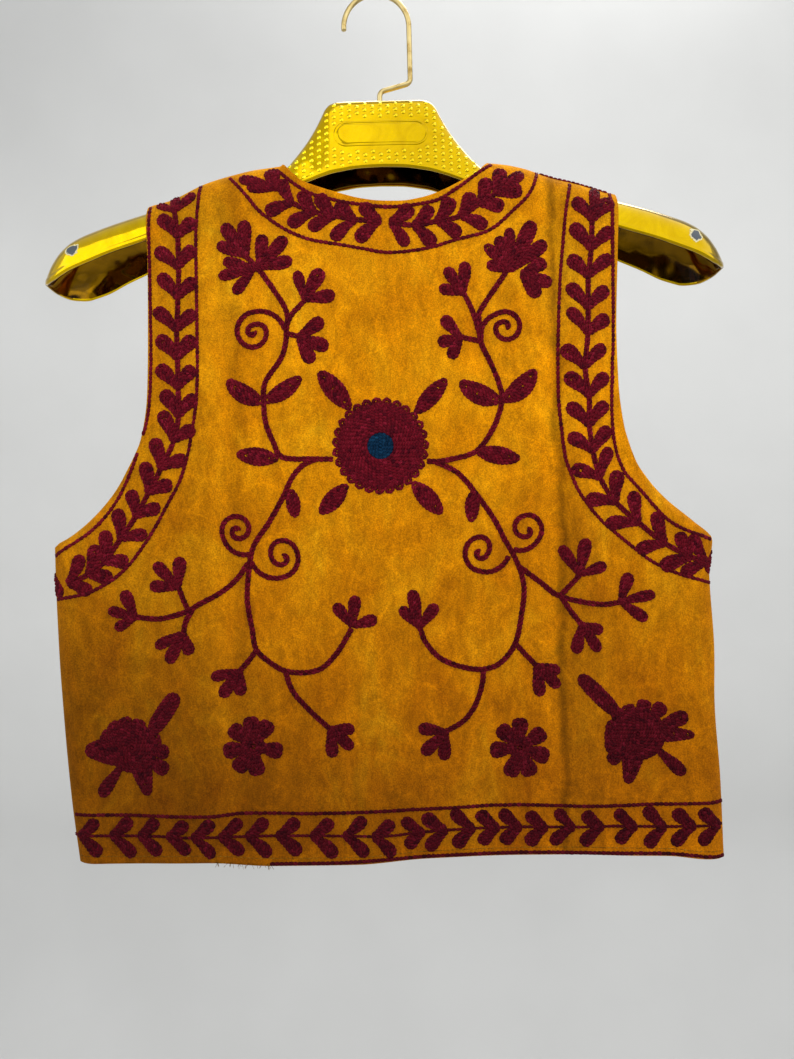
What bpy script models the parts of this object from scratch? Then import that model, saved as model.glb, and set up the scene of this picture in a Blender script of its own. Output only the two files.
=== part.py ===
"""Embroidered waistcoat on a wide-shoulder hanger: cut pieces, hanger shell and hook.

Lengths are in millimetres and become metres as each mesh is made. +Z is up, the
waistcoat's back faces -Y and its two fronts face +Y. The origin is the inside of
the hook's arc at its top, where a rail carries it.
"""
import math

import bmesh
import bpy
import numpy as np

MM = 0.001

# Cloth
CLOTH_WALL = 1.8          # velvet with its embroidery
SEAM_GAP = 0.3            # between two pieces that are sewn together
HANGER_CLEARANCE = 1.4    # between the cloth and the arm that carries it
BACK_TURN = 14.0          # width over which the back turns in to its side seam
FRONT_TURN = 44.0         # and a front, which hangs further out
TURN_TOP = -296.0         # height where that turn begins, a little above the armpits
TURN_BOTTOM = -352.0      # height where it is complete
HEM_BACK_Y = -10.0        # how far the back hangs from the middle plane at the hem
HEM_FRONT_Y = 11.0        # and the two fronts
LOWEST = -575.0           # lowest point of the hem, where every panel has come to rest
SEAM_SHIFT = 3.0          # the side seams lie this far towards the fronts at the armpits
SEAM_SHIFT_TOP = -350.0   # height of that place
FOLD_FADE_TOP = 60.0      # length over which a fold comes up at its top
FOLD_FADE_LOW = 40.0      # and dies away at its foot
NECK_WRAP = 10.0          # least height of the rows that follow the neck edge
POINT_LOW = -200.0        # a front's inner edge swings out from here up to its neck point
POINT_HIGH = -110.0
SAME = 1e-6               # two places nearer than this are one
MERGE = 0.02              # points nearer than this are merged

# Hanger
SHELL_WALL = 2.2          # moulded wall
PLATE_TAPER = 0.34        # the centre block is this much thinner at its top
PLATE_END = 36.0          # half-width of the boxy centre block
ARM_START = 74.0          # beyond it the section is fully round
BLOCK_END = 69.0          # the shell is in three stretches: the block and two arms
PLATE_POWER = 0.36        # roundness of the section in the centre block, 1 is an ellipse
ARM_POWER = 0.82          # and along the arms
SLANT_LIMIT = 2.2         # most that a steep crest thickens the wall measured upright
ARCH_POINTS = 13          # points from rim to rim of a section

# Hook
WIRE = 3.4                # diameter
HOOK_RADIUS = 21.5        # centre line of the arc
HOOK_CENTRE_X = -1.0
HOOK_SHANK_X = 20.5       # straight run beside the arc
JOG_LOW = -62.0           # the shank steps sideways between these heights
JOG_HIGH = -58.6
JOG_BEND = 4.2            # centre-line radius of the two bends
SHANK_FOOT = -46.0        # where the straight run starts, clear of the upper bend
ARC_START, ARC_END = 8.0, 184.0   # degrees round the arc, from the shank to the tip
BEND_POINTS, SHANK_POINTS, ARC_POINTS = 6, 4, 23
WIRE_SIDES = 10

# Hanger sections: distance from the middle, height of the crest, height of the rim
# on the back's side, how much lower the other rim is, plan offset and half-depth.
HANGER_SECTIONS = np.array([
    # x,     crest,   rim,   drop,  mid,  half
    (0.0,   -71.6, -118.7,  0.0,  0.0, 16.5),
    (14.0,  -71.6, -119.2,  0.0,  0.0, 16.5),
    (27.0,  -71.7, -121.0,  0.0,  0.2, 16.5),
    (32.0,  -72.8, -121.9,  0.0,  0.3, 16.5),
    (35.4,  -75.6, -122.8,  0.0,  0.4, 16.5),
    (38.4,  -81.2, -123.7,  0.1,  0.5, 16.6),
    (41.8,  -87.6, -124.7,  0.2,  0.6, 16.6),
    (46.0,  -94.4, -126.2,  0.3,  0.8, 16.7),
    (51.0, -101.2, -128.0,  0.5,  1.0, 16.8),
    (56.6, -107.8, -130.3,  0.7,  1.3, 17.0),
    (62.2, -113.8, -132.3,  1.0,  1.7, 17.2),
    (69.0, -118.8, -134.5,  1.4,  2.2, 17.5),
    (82.0, -122.6, -138.2,  2.0,  3.2, 18.1),
    (104.0, -126.6, -144.6,  3.0,  5.2, 19.1),
    (130.0, -131.8, -152.2,  4.2,  8.2, 20.3),
    (157.0, -137.4, -160.2,  5.4, 11.6, 21.6),
    (180.0, -143.0, -166.6,  7.2, 14.6, 22.7),
    (197.0, -148.0, -172.2,  9.0, 16.6, 22.9),
    (207.5, -152.2, -175.6,  9.0, 17.6, 21.8),
    (215.5, -157.6, -178.4,  7.2, 18.2, 19.0),
    (222.0, -164.6, -180.2,  5.0, 18.5, 14.6),
    (227.0, -171.8, -180.6,  2.6, 18.8,  9.2),
    (230.2, -176.8, -180.0,  0.9, 19.0,  4.2),
    (231.5, -179.4, -179.4,  0.0, 19.0,  0.0),
])

# Top of the cloth from the left armhole to the right one: the two shoulder seams and
# the neck scoop between them, with the columns that each stretch is divided into.
SHOULDER_LINE = np.array([
    # x,      height
    (-152.5, -136.2),
    (-134.0, -128.8),
    (-115.0, -120.6),
    (-97.0,  -116.2),
    (-80.0,  -113.4),
    (-64.0,  -112.6),
    (69.5,   -113.8),
    (80.0,   -114.6),
    (93.0,   -117.2),
    (109.0,  -122.8),
    (124.0,  -126.0),
    (138.0,  -129.6),
    (152.0,  -134.4),
])
NECK_LEFT, NECK_RIGHT = -64.0, 69.5
NECK_SCOOP = np.array([
    # x,     height
    (-64.0, -112.6),
    (-58.5, -120.6),
    (-51.0, -127.6),
    (-39.5, -132.4),
    (-27.0, -136.6),
    (-14.0, -140.3),
    (-1.0,  -142.2),
    (11.5,  -142.6),
    (24.5,  -140.9),
    (37.0,  -137.0),
    (50.0,  -130.8),
    (60.0,  -125.6),
    (66.0,  -119.0),
    (69.5,  -113.8),
])

# Side edges: armhole down to the armpit, then the side seam to the hem. A level is a
# height on the left edge; the waistcoat hangs lower towards the right one.
LEFT_EDGE = np.array([
    # level, x
    (-136.2, -153.5),
    (-172.0, -152.2),
    (-224.0, -153.2),
    (-262.0, -154.9),
    (-289.0, -159.6),
    (-314.0, -173.2),
    (-328.0, -184.6),
    (-341.0, -198.0),
    (-351.0, -211.0),
    (-358.5, -222.4),
    (-374.0, -222.4),
    (-425.0, -221.4),
    (-470.0, -219.2),
    (-523.0, -215.4),
    (-566.0, -210.6),
])
RIGHT_EDGE = np.array([
    # level, x
    (-134.4, 153.0),
    (-178.0, 150.6),
    (-229.0, 148.6),
    (-258.0, 149.2),
    (-284.5, 152.2),
    (-306.0, 160.0),
    (-319.6, 170.4),
    (-332.4, 183.2),
    (-345.2, 199.2),
    (-358.5, 212.4),
    (-378.0, 209.8),
    (-431.0, 211.8),
    (-464.0, 211.0),
    (-517.0, 213.4),
    (-569.0, 214.2),
])
ARMPIT = -358.5           # level of both armpits
RIGHT_DROP = -6.0         # how much lower the right armpit hangs
DROP_START = -112.0       # the drop grows from here down to the armpits

# Lower edge, which runs down to one side and waves a little.
HEM_LINE = np.array([
    # x,      height
    (-209.0, -564.0),
    (-180.0, -564.2),
    (-128.0, -565.2),
    (-84.0, -568.6),
    (-30.0, -569.0),
    (16.0, -565.8),
    (55.0, -565.0),
    (108.0, -565.8),
    (150.0, -567.8),
    (176.0, -568.6),
    (200.0, -571.4),
    (212.4, -571.8),
])

# Inner edge of a front: from the neck point down a V to the centre, then straight.
FRONT_EDGE = np.array([
    # height, distance from the middle
    (-110.0, 66.5),
    (-150.0, 59.0),
    (-200.0, 46.5),
    (-250.0, 32.5),
    (-300.0, 17.0),
    (-332.0,  7.6),
    (-346.0,  4.8),
    (-575.0,  6.6),
])

# Large folds: a ridge (towards the outside) or a trough along a nearly upright line.
BACK_FOLDS = np.array([
    # x_top, x_low, width, height, z_top, z_low
    (126.0, 108.0, 17.0,  3.6, -190.0, -556.0),
    (166.0, 152.0, 24.0, -2.6, -330.0, -580.0),
    (-108.0, -96.0, 13.0,  1.8, -205.0, -395.0),
    (-60.0, -78.0, 26.0, -1.8, -420.0, -585.0),
    (-150.0, -140.0, 24.0,  1.8, -400.0, -590.0),
    (20.0,  34.0, 30.0,  1.6, -430.0, -590.0),
])
FRONT_FOLDS = np.array([
    # from the middle, as above
    (92.0, 78.0, 20.0,  3.0, -190.0, -570.0),
    (128.0, 132.0, 24.0, -2.4, -330.0, -590.0),
    (34.0, 40.0, 22.0, -1.8, -400.0, -590.0),
])

SHOULDER_HALF, CHEST_HALF = 152.0, 215.0
SHOULDER_SHARE = SHOULDER_HALF / CHEST_HALF   # width at the shoulders for one at the chest
BACK_COLUMNS_LEFT, BACK_COLUMNS_NECK, BACK_COLUMNS_RIGHT = 8, 15, 8
FRONT_COLUMNS = 9
TURN_COLUMNS = 4          # extra columns in the turn beside each side seam
WRAP_ROWS = 5             # rows over the hanger's arm
CHEST_ROWS = (0.0, 0.15, 0.30, 0.45, 0.58, 0.70, 0.80, 0.88, 0.95, 1.0)
BODY_ROWS = 7             # rows from the armpits to the hem


def table_curve(table, at, value=1):
    """Smooth curve through one column of a table, with no overshoot between its rows."""
    order = np.argsort(table[:, 0])
    keys, values = table[order, 0], table[order, value]
    secants = np.diff(values) / np.diff(keys)
    before, after = secants[:-1], secants[1:]
    same_way = before * after > 0
    middle = np.where(same_way, 2 * before * after / np.where(same_way, before + after, 1.0), 0.0)
    slopes = np.concatenate([secants[:1], middle, secants[-1:]])
    at = np.clip(at, keys[0], keys[-1])
    index = np.clip(np.searchsorted(keys, at) - 1, 0, len(keys) - 2)
    step = keys[index + 1] - keys[index]
    t = (at - keys[index]) / step
    rise = values[index + 1] - values[index]
    a = slopes[index] * step - rise
    b = -slopes[index + 1] * step + rise
    return values[index] + t * rise + t * (1 - t) * (a * (1 - t) + b * t)


def ease(low, high, at):
    """Smooth step from 0 at low to 1 at high."""
    t = np.clip((at - low) / (high - low), 0.0, 1.0)
    return t * t * (3.0 - 2.0 * t)


def hanger_value(name, x):
    """One named column of the hanger's sections, read at distance |x|."""
    column = ("x", "crest", "rim", "drop", "mid", "half").index(name)
    return table_curve(HANGER_SECTIONS, np.abs(x), column)


def section_power(x):
    """Roundness of the hanger's section: boxy in the centre block, round on the arms."""
    boxy = 1.0 - ease(PLATE_END, ARM_START, np.abs(x))
    return ARM_POWER + (PLATE_POWER - ARM_POWER) * boxy


def right_drop(x_shoulder, z):
    """How much lower a column hangs at a height than the left edge does."""
    share = np.clip((x_shoulder / SHOULDER_HALF + 1.0) / 2, 0.0, 1.0)
    return RIGHT_DROP * share * np.clip((DROP_START - z) / (DROP_START - ARMPIT), 0.0, 1.0)


def seam_depth(z):
    """Plan place of the side seams: a little towards the fronts at the armpits."""
    return SEAM_SHIFT * ease(LOWEST, SEAM_SHIFT_TOP, z)


def fold_height(folds, x, z):
    """Sum of the soft ridges and troughs at a place on a panel."""
    total = np.zeros(np.broadcast(x, z).shape)
    for x_top, x_low, width, height, z_top, z_low in folds:
        down = np.clip((z_top - z) / (z_top - z_low), 0.0, 1.0)
        line = x_top + (x_low - x_top) * down
        along = ease(z_top, z_top - FOLD_FADE_TOP, z) * ease(z_low, z_low + FOLD_FADE_LOW, z)
        total += height * along * np.exp(-((x - line) / width) ** 2)
    return total


def side_turn(depth_flat, from_edge, z, seam_side):
    """Turn a panel's flat depth in to the side seam over a quarter of an ellipse."""
    seam = seam_depth(z) + seam_side * SEAM_GAP / 2
    width = FRONT_TURN if seam_side > 0 else BACK_TURN
    inward = 1.0 - np.clip(from_edge / width, 0.0, 1.0)
    turned = seam + (depth_flat - seam) * np.sqrt(1.0 - inward ** 2)
    amount = ease(TURN_TOP, TURN_BOTTOM, z)
    return depth_flat + (turned - depth_flat) * amount


def panel_depth(x_shoulder, x, z, from_edge, side, folds, top):
    """Depth of a panel's outer face: over the hanger's arm, down, and in at the side.

    side is -1 for the back and +1 for a front. top is the height of the cloth over
    the arm's crest at this column.
    """
    mid = hanger_value("mid", x_shoulder)
    reach = hanger_value("half", x_shoulder) + CLOTH_WALL + HANGER_CLEARANCE
    rim = hanger_value("rim", x_shoulder)
    if side > 0:
        rim = rim - hanger_value("drop", x_shoulder)
    over = np.clip((z - rim) / (top - rim), 0.0, 1.0)
    power = section_power(x_shoulder)
    bulge = (1.0 - over ** (2 / power)) ** (power / 2)
    wrapped = mid + side * (SEAM_GAP / 2 + (reach - SEAM_GAP / 2) * bulge)
    hem = HEM_FRONT_Y if side > 0 else HEM_BACK_Y
    down = ease(rim, LOWEST, z)
    hung = wrapped + (hem - wrapped) * down + side * fold_height(folds, x, z)
    return side_turn(hung, from_edge, z, side)


def grid_normals(points):
    """Unit normals of a grid of points, from its rows and columns."""
    down = np.gradient(points, axis=0)
    across = np.gradient(points, axis=1)
    normal = np.cross(across, down)
    return normal / np.linalg.norm(normal, axis=2, keepdims=True)


def wall_faces(rows, columns):
    """Faces of a closed wall made of an outer and an inner grid."""
    def at(row, column, layer):
        return layer * rows * columns + row * columns + column

    faces = []
    for r in range(rows - 1):
        for c in range(columns - 1):
            faces.append((at(r, c, 0), at(r + 1, c, 0), at(r + 1, c + 1, 0), at(r, c + 1, 0)))
            faces.append((at(r, c, 1), at(r, c + 1, 1), at(r + 1, c + 1, 1), at(r + 1, c, 1)))
    ring = [(0, c) for c in range(columns)]
    ring += [(r, columns - 1) for r in range(1, rows)]
    ring += [(rows - 1, c) for c in range(columns - 2, -1, -1)]
    ring += [(r, 0) for r in range(rows - 2, 0, -1)]
    for (r0, c0), (r1, c1) in zip(ring, ring[1:] + ring[:1]):
        faces.append((at(r0, c0, 0), at(r1, c1, 0), at(r1, c1, 1), at(r0, c0, 1)))
    return faces


def make_material(name, colour, roughness, metallic):
    """Principled material of one colour."""
    material = bpy.data.materials.new(name)
    material.use_nodes = True
    shader = material.node_tree.nodes["Principled BSDF"]
    shader.inputs["Base Color"].default_value = (*colour, 1.0)
    shader.inputs["Roughness"].default_value = roughness
    shader.inputs["Metallic"].default_value = metallic
    return material


def add_object(name, vertices, faces, material):
    """Closed mesh object from points in millimetres, with coincident points merged."""
    mesh = bpy.data.meshes.new(name)
    mesh.from_pydata([tuple(v) for v in np.asarray(vertices) * MM], [], faces)
    work = bmesh.new()
    work.from_mesh(mesh)
    bmesh.ops.remove_doubles(work, verts=work.verts, dist=MERGE * MM)
    bmesh.ops.recalc_face_normals(work, faces=work.faces)
    work.to_mesh(mesh)
    work.free()
    mesh.shade_smooth()
    mesh.set_sharp_from_angle(angle=math.radians(40.0))
    mesh.materials.append(material)
    part = bpy.data.objects.new(name, mesh)
    bpy.context.collection.objects.link(part)
    return part


def spread(low, high, count):
    """Evenly spaced places, the last one left out."""
    return list(np.linspace(low, high, count, endpoint=False))


def turn_places(width):
    """Distances from the side edge of the columns in its turn, edge first."""
    angles = np.linspace(0.0, math.pi / 2, TURN_COLUMNS + 1)
    return width * (1.0 - np.cos(angles)) * SHOULDER_SHARE


def panel_grid(x_shoulder, edge_low, edge_high, top_height, side):
    """Outer grid of a panel.

    x_shoulder holds each column's place on the shoulder line. edge_low and edge_high
    give the panel's two side edges at a level, and top_height is its top edge.
    """
    low, high = x_shoulder[0], x_shoulder[-1]
    share = (x_shoulder - low) / (high - low)
    crest = np.maximum(table_curve(SHOULDER_LINE, x_shoulder),
                       hanger_value("crest", x_shoulder) + CLOTH_WALL + HANGER_CLEARANCE)
    rim = hanger_value("rim", x_shoulder)
    if side > 0:
        rim = rim - hanger_value("drop", x_shoulder)
    wrap_end = np.minimum(rim, top_height - NECK_WRAP)
    pit = ARMPIT + right_drop(x_shoulder, np.full(x_shoulder.shape, ARMPIT))
    hem = table_curve(HEM_LINE, x_shoulder / SHOULDER_SHARE)
    rows = []
    for step in range(WRAP_ROWS):
        turn = 1.0 - math.cos(step / WRAP_ROWS * math.pi / 2)
        rows.append(top_height + (wrap_end - top_height) * turn)
    for share_down in CHEST_ROWS[:-1]:
        rows.append(wrap_end + (pit - wrap_end) * share_down)
    for step in range(BODY_ROWS + 1):
        rows.append(pit + (hem - pit) * step / BODY_ROWS)
    z = np.array(rows)
    level = z - right_drop(x_shoulder, z)
    left, right = edge_low(level), edge_high(level)
    x = left + (right - left) * share
    return x, z, crest


def build_panel(name, x_shoulder, edges, top_height, side, folds, material, sewn_columns):
    """One panel: its outer grid, its inner grid a cloth's wall inside, and its edges."""
    x, z, crest = panel_grid(x_shoulder, *edges, top_height, side)
    edge = np.full(x.shape, 1e3)
    if 0 in sewn_columns:
        edge = np.minimum(edge, x - x[:, :1])
    if -1 in sewn_columns:
        edge = np.minimum(edge, x[:, -1:] - x)
    fold_x = np.abs(x) if side > 0 else x
    y = panel_depth(x_shoulder, fold_x, z, edge, side, folds, crest)
    outer = np.stack([x, y, z], axis=2)
    normal = grid_normals(outer) * (1.0 if side < 0 else -1.0)
    on_shoulder = np.abs(top_height - crest) < SAME
    normal[0, on_shoulder, 1] = 0.0
    first_sewn = WRAP_ROWS + len(CHEST_ROWS) - 1
    for column in sewn_columns:
        normal[first_sewn:, column, 1:] = 0.0
    normal /= np.linalg.norm(normal, axis=2, keepdims=True)
    inner = outer - normal * CLOTH_WALL
    rows, columns = x.shape
    points = np.concatenate([outer.reshape(-1, 3), inner.reshape(-1, 3)])
    return add_object(name, points, wall_faces(rows, columns), material)


def neck_places():
    """Places of the columns across the neck scoop, close together at its two ends."""
    middle, half = (NECK_LEFT + NECK_RIGHT) / 2, (NECK_RIGHT - NECK_LEFT) / 2
    angles = np.linspace(0.0, math.pi, BACK_COLUMNS_NECK, endpoint=False)
    return middle - half * np.cos(angles)


def back_columns():
    """Places of the back's columns on the shoulder line."""
    turn = turn_places(BACK_TURN)
    left, right = SHOULDER_LINE[0, 0], SHOULDER_LINE[-1, 0]
    columns = list(left + turn)
    columns += spread(left + turn[-1], NECK_LEFT, BACK_COLUMNS_LEFT)[1:]
    columns += list(neck_places())
    columns += spread(NECK_RIGHT, right - turn[-1], BACK_COLUMNS_RIGHT)
    columns += list((right - turn)[::-1])
    return np.array(columns)


def back_top(x_shoulder):
    """Height of the back's top edge: shoulder seams, and the scoop between them."""
    shoulder = np.maximum(table_curve(SHOULDER_LINE, x_shoulder),
                          hanger_value("crest", x_shoulder) + CLOTH_WALL + HANGER_CLEARANCE)
    scoop = table_curve(NECK_SCOOP, x_shoulder)
    inside = (x_shoulder > NECK_LEFT + SAME) & (x_shoulder < NECK_RIGHT - SAME)
    return np.where(inside, scoop, shoulder)


def build_back(material):
    """The back, cut in one piece."""
    columns = back_columns()
    edges = (lambda level: table_curve(LEFT_EDGE, level), lambda level: table_curve(RIGHT_EDGE, level))
    return build_panel("back", columns, edges, back_top(columns), -1, BACK_FOLDS, material, (0, -1))


def build_front(name, sign, material):
    """One front: shoulder seam, armhole, side seam, hem, and the open centre edge."""
    outer = SHOULDER_LINE[0, 0] if sign < 0 else SHOULDER_LINE[-1, 0]
    neck = NECK_LEFT if sign < 0 else NECK_RIGHT
    turn = turn_places(FRONT_TURN)
    columns = list(outer - sign * turn)
    columns += list(np.linspace(outer - sign * turn[-1], neck, FRONT_COLUMNS))[1:]
    columns = np.array(columns if sign < 0 else columns[::-1])
    crest = np.maximum(table_curve(SHOULDER_LINE, columns),
                       hanger_value("crest", columns) + CLOTH_WALL + HANGER_CLEARANCE)

    def centre(level):
        line = table_curve(FRONT_EDGE, level)
        to_point = abs(neck) - FRONT_EDGE[0, 1]
        return sign * (line + to_point * ease(POINT_LOW, POINT_HIGH, level))

    if sign < 0:
        edges = (lambda level: table_curve(LEFT_EDGE, level), centre)
        sewn = (0,)
    else:
        edges = (centre, lambda level: table_curve(RIGHT_EDGE, level))
        sewn = (-1,)
    return build_panel(name, columns, edges, crest, 1, FRONT_FOLDS, material, sewn)


def hanger_surface(x, inset):
    """Grid of one face of the hanger's shell, along x and from rim to rim."""
    steepness = np.abs(np.gradient(hanger_value("crest", x), x))
    slant = np.minimum(np.sqrt(1 + steepness ** 2), SLANT_LIMIT)
    crest = hanger_value("crest", x) - inset * slant
    rim = hanger_value("rim", x)
    drop = hanger_value("drop", x)
    mid = hanger_value("mid", x)
    half = np.maximum(hanger_value("half", x) - inset, 0.0)
    crest = np.maximum(crest, rim)
    tip_scale = 1.0 - inset / HANGER_SECTIONS[-1, 0]
    boxy = 1.0 - ease(PLATE_END, ARM_START, np.abs(x))
    power = section_power(x)
    angle = np.linspace(-math.pi / 2, math.pi / 2, ARCH_POINTS)[:, None]
    sine = np.sign(angle) * np.abs(np.sin(angle)) ** power
    cosine = np.abs(np.cos(angle)) ** power
    cosine[[0, -1]] = 0.0
    low = rim - drop * (1.0 + sine) / 2
    z = low + (crest - low) * cosine
    y = mid + half * sine * (1.0 - PLATE_TAPER * boxy * cosine)
    return np.stack([np.broadcast_to(x * tip_scale, z.shape), y, z], axis=2)


def build_shell_stretch(name, x, material):
    """One stretch of the hanger's moulded shell, open underneath and at its cut ends."""
    outer = hanger_surface(x, 0.0)
    inner = hanger_surface(x, SHELL_WALL)
    rows, columns, _ = outer.shape
    points = np.concatenate([outer.reshape(-1, 3), inner.reshape(-1, 3)])
    return add_object(name, points, wall_faces(rows, columns), material)


def build_hanger(material):
    """The hanger's shell: the centre block and the two arms, face to face."""
    places = HANGER_SECTIONS[:, 0]
    block = places[places <= BLOCK_END]
    arm = np.concatenate([[BLOCK_END + SEAM_GAP], places[places > BLOCK_END]])
    build_shell_stretch("hanger_block", np.concatenate([-block[:0:-1], block]), material)
    build_shell_stretch("hanger_arm_left", -arm[::-1], material)
    build_shell_stretch("hanger_arm_right", arm, material)


def bend_points(centre, start, end):
    """Points along a bend of the wire, angles in degrees."""
    angles = np.radians(np.linspace(start, end, BEND_POINTS))
    return [(centre[0] + JOG_BEND * math.cos(a), centre[1] + JOG_BEND * math.sin(a)) for a in angles]


def hook_route():
    """Centre line of the wire: up from the block, a step sideways, and over the arc."""
    top = HANGER_SECTIONS[0, 1] + SEAM_GAP
    slope = math.degrees(math.atan2(JOG_HIGH - JOG_LOW, HOOK_SHANK_X))
    arc_centre_z = WIRE / 2 - HOOK_RADIUS
    route = [(0.0, top), (0.0, (top + JOG_LOW - JOG_BEND) / 2)]
    route += bend_points((JOG_BEND, JOG_LOW - JOG_BEND), 180.0, 90.0 + slope)
    route += bend_points((HOOK_SHANK_X - JOG_BEND, JOG_HIGH + JOG_BEND), -90.0 + slope, 0.0)
    route += [(HOOK_SHANK_X, z) for z in np.linspace(SHANK_FOOT, arc_centre_z, SHANK_POINTS)]
    for angle in np.radians(np.linspace(ARC_START, ARC_END, ARC_POINTS)):
        route.append((HOOK_CENTRE_X + HOOK_RADIUS * math.cos(angle),
                      arc_centre_z + HOOK_RADIUS * math.sin(angle)))
    return route


def build_hook(material):
    """The wire hook, a round bar carried along its route with flat ends."""
    route = np.array(hook_route())
    tangent = np.gradient(route, axis=0)
    tangent /= np.linalg.norm(tangent, axis=1, keepdims=True)
    across = np.stack([-tangent[:, 1], tangent[:, 0]], axis=1)
    angles = np.linspace(0.0, 2 * math.pi, WIRE_SIDES, endpoint=False)
    points = []
    for (x, z), (ax, az) in zip(route, across):
        for angle in angles:
            side = WIRE / 2 * math.cos(angle)
            points.append((x + ax * side, WIRE / 2 * math.sin(angle), z + az * side))
    faces = []
    count = len(route)
    for ring in range(count - 1):
        for k in range(WIRE_SIDES):
            after = (k + 1) % WIRE_SIDES
            faces.append((ring * WIRE_SIDES + k, ring * WIRE_SIDES + after,
                          (ring + 1) * WIRE_SIDES + after, (ring + 1) * WIRE_SIDES + k))
    faces.append(tuple(range(WIRE_SIDES)))
    faces.append(tuple((count - 1) * WIRE_SIDES + k for k in range(WIRE_SIDES)))
    return add_object("hook", points, faces, material)


def main():
    """Clear the scene and build every piece."""
    for old in list(bpy.data.objects):
        bpy.data.objects.remove(old, do_unlink=True)
    velvet = make_material("mustard_velvet", (0.62, 0.30, 0.012), 0.85, 0.0)
    plating = make_material("gold_plated_plastic", (0.83, 0.56, 0.06), 0.12, 1.0)
    wire = make_material("brassed_steel_wire", (0.78, 0.62, 0.30), 0.28, 1.0)
    build_back(velvet)
    build_front("front_left", -1, velvet)
    build_front("front_right", 1, velvet)
    build_hanger(plating)
    build_hook(wire)


main()
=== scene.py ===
"""Looks of an embroidered velvet waistcoat that hangs on a gold-plated hanger.

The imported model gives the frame: the waistcoat's back faces -Y, its two fronts face +Y,
+Z is up and the origin is the inside of the hook's arc at its top. Every class works in
millimetres, and mesh points become metres as they enter Blender. A place on a panel is
(x, z): how far to the side and how high, as seen from that panel's own side.
"""

import logging
import math
from dataclasses import dataclass, field
from enum import Enum
from typing import Callable, Sequence

import bmesh
import bpy
import numpy as np
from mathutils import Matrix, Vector


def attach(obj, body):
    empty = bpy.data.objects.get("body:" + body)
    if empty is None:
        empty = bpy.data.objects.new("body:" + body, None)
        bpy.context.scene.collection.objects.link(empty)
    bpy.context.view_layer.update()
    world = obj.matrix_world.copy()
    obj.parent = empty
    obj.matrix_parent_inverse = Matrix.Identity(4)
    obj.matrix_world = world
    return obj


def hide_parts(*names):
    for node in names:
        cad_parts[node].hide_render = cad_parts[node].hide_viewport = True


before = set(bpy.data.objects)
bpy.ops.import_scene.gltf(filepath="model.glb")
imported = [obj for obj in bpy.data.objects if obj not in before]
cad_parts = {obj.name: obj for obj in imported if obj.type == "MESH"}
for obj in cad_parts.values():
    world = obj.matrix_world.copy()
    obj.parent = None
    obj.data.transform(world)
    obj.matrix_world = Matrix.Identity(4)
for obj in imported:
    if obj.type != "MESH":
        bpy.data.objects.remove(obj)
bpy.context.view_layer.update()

LOG = logging.getLogger("waistcoat")
MM = 0.001
Array = np.ndarray
Place = tuple[float, float]


# ---------------------------------------------------------------- curves and meshes

def table_curve(table: Array, at: Array, value: int = 1) -> Array:
    """Smooth curve through one column of a table, with no overshoot between its rows.

    Cubic Hermite pieces whose slope at a row is the harmonic mean of its two secants.

    Args:
        table: rows of numbers, the first column being the key.
        at: keys to read the curve at; beyond the table it keeps its end value.
        value: which column to read.

    Returns:
        The curve's values, in the shape of `at`.
    """
    order = np.argsort(table[:, 0])
    keys, values = table[order, 0], table[order, value]
    secants = np.diff(values) / np.diff(keys)
    before, after = secants[:-1], secants[1:]
    same_way = before * after > 0
    middle = np.where(same_way, 2 * before * after / np.where(same_way, before + after, 1.0), 0.0)
    slopes = np.concatenate([secants[:1], middle, secants[-1:]])
    at = np.clip(at, keys[0], keys[-1])
    index = np.clip(np.searchsorted(keys, at) - 1, 0, len(keys) - 2)
    step = keys[index + 1] - keys[index]
    t = (at - keys[index]) / step
    rise = values[index + 1] - values[index]
    a = slopes[index] * step - rise
    b = -slopes[index + 1] * step + rise
    return values[index] + t * rise + t * (1 - t) * (a * (1 - t) + b * t)


def ease(low: float | Array, high: float | Array, at: Array) -> Array:
    """Smooth step from 0 at low to 1 at high, which may be the lower number."""
    t = np.clip((at - low) / (high - low), 0.0, 1.0)
    return t * t * (3.0 - 2.0 * t)


def direction(degrees: float) -> Array:
    """The flat direction at an angle anticlockwise from +x."""
    return np.array([math.cos(math.radians(degrees)), math.sin(math.radians(degrees))])


def unit(vectors: Array) -> Array:
    """Vectors along the last axis, made one long."""
    return vectors / np.maximum(np.linalg.norm(vectors, axis=-1, keepdims=True), 1e-9)


def smooth_path(points: Sequence[Place], step: float = 0.5, closed: bool = False) -> Array:
    """Round curve through a few places, read at even steps of its length.

    A Catmull-Rom curve: between two places the tangent turns from half the chord of the
    neighbours of the first to that of the second.

    Args:
        points: the places, in order.
        step: spacing of the places that come back.
        closed: whether the curve returns to its first place.

    Returns:
        Places along the curve, one a row.
    """
    given = np.asarray(points, dtype=float)
    if closed:
        given = np.vstack([given[-1], given, given[:2]])
    else:
        given = np.vstack([2 * given[0] - given[1], given, 2 * given[-1] - given[-2]])
    t = np.linspace(0.0, 1.0, 24, endpoint=False)[:, None]
    p0, p1, p2, p3 = (given[k:len(given) - 3 + k, None, :] for k in range(4))
    curve = 0.5 * (2 * p1 + (p2 - p0) * t + (2 * p0 - 5 * p1 + 4 * p2 - p3) * t ** 2
                   + (3 * p1 - p0 - 3 * p2 + p3) * t ** 3)
    return even(np.vstack([curve.reshape(-1, given.shape[1]), given[-2]]), step)


def even(path: Array, step: float) -> Array:
    """A path read again at even steps, the nearest to step that divides its length."""
    along = np.concatenate([[0.0], np.cumsum(np.linalg.norm(np.diff(path, axis=0), axis=1))])
    count = max(2, int(round(along[-1] / step)) + 1)
    at = np.linspace(0.0, along[-1], count)
    return np.stack([np.interp(at, along, path[:, k]) for k in range(path.shape[1])], axis=1)


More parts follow.
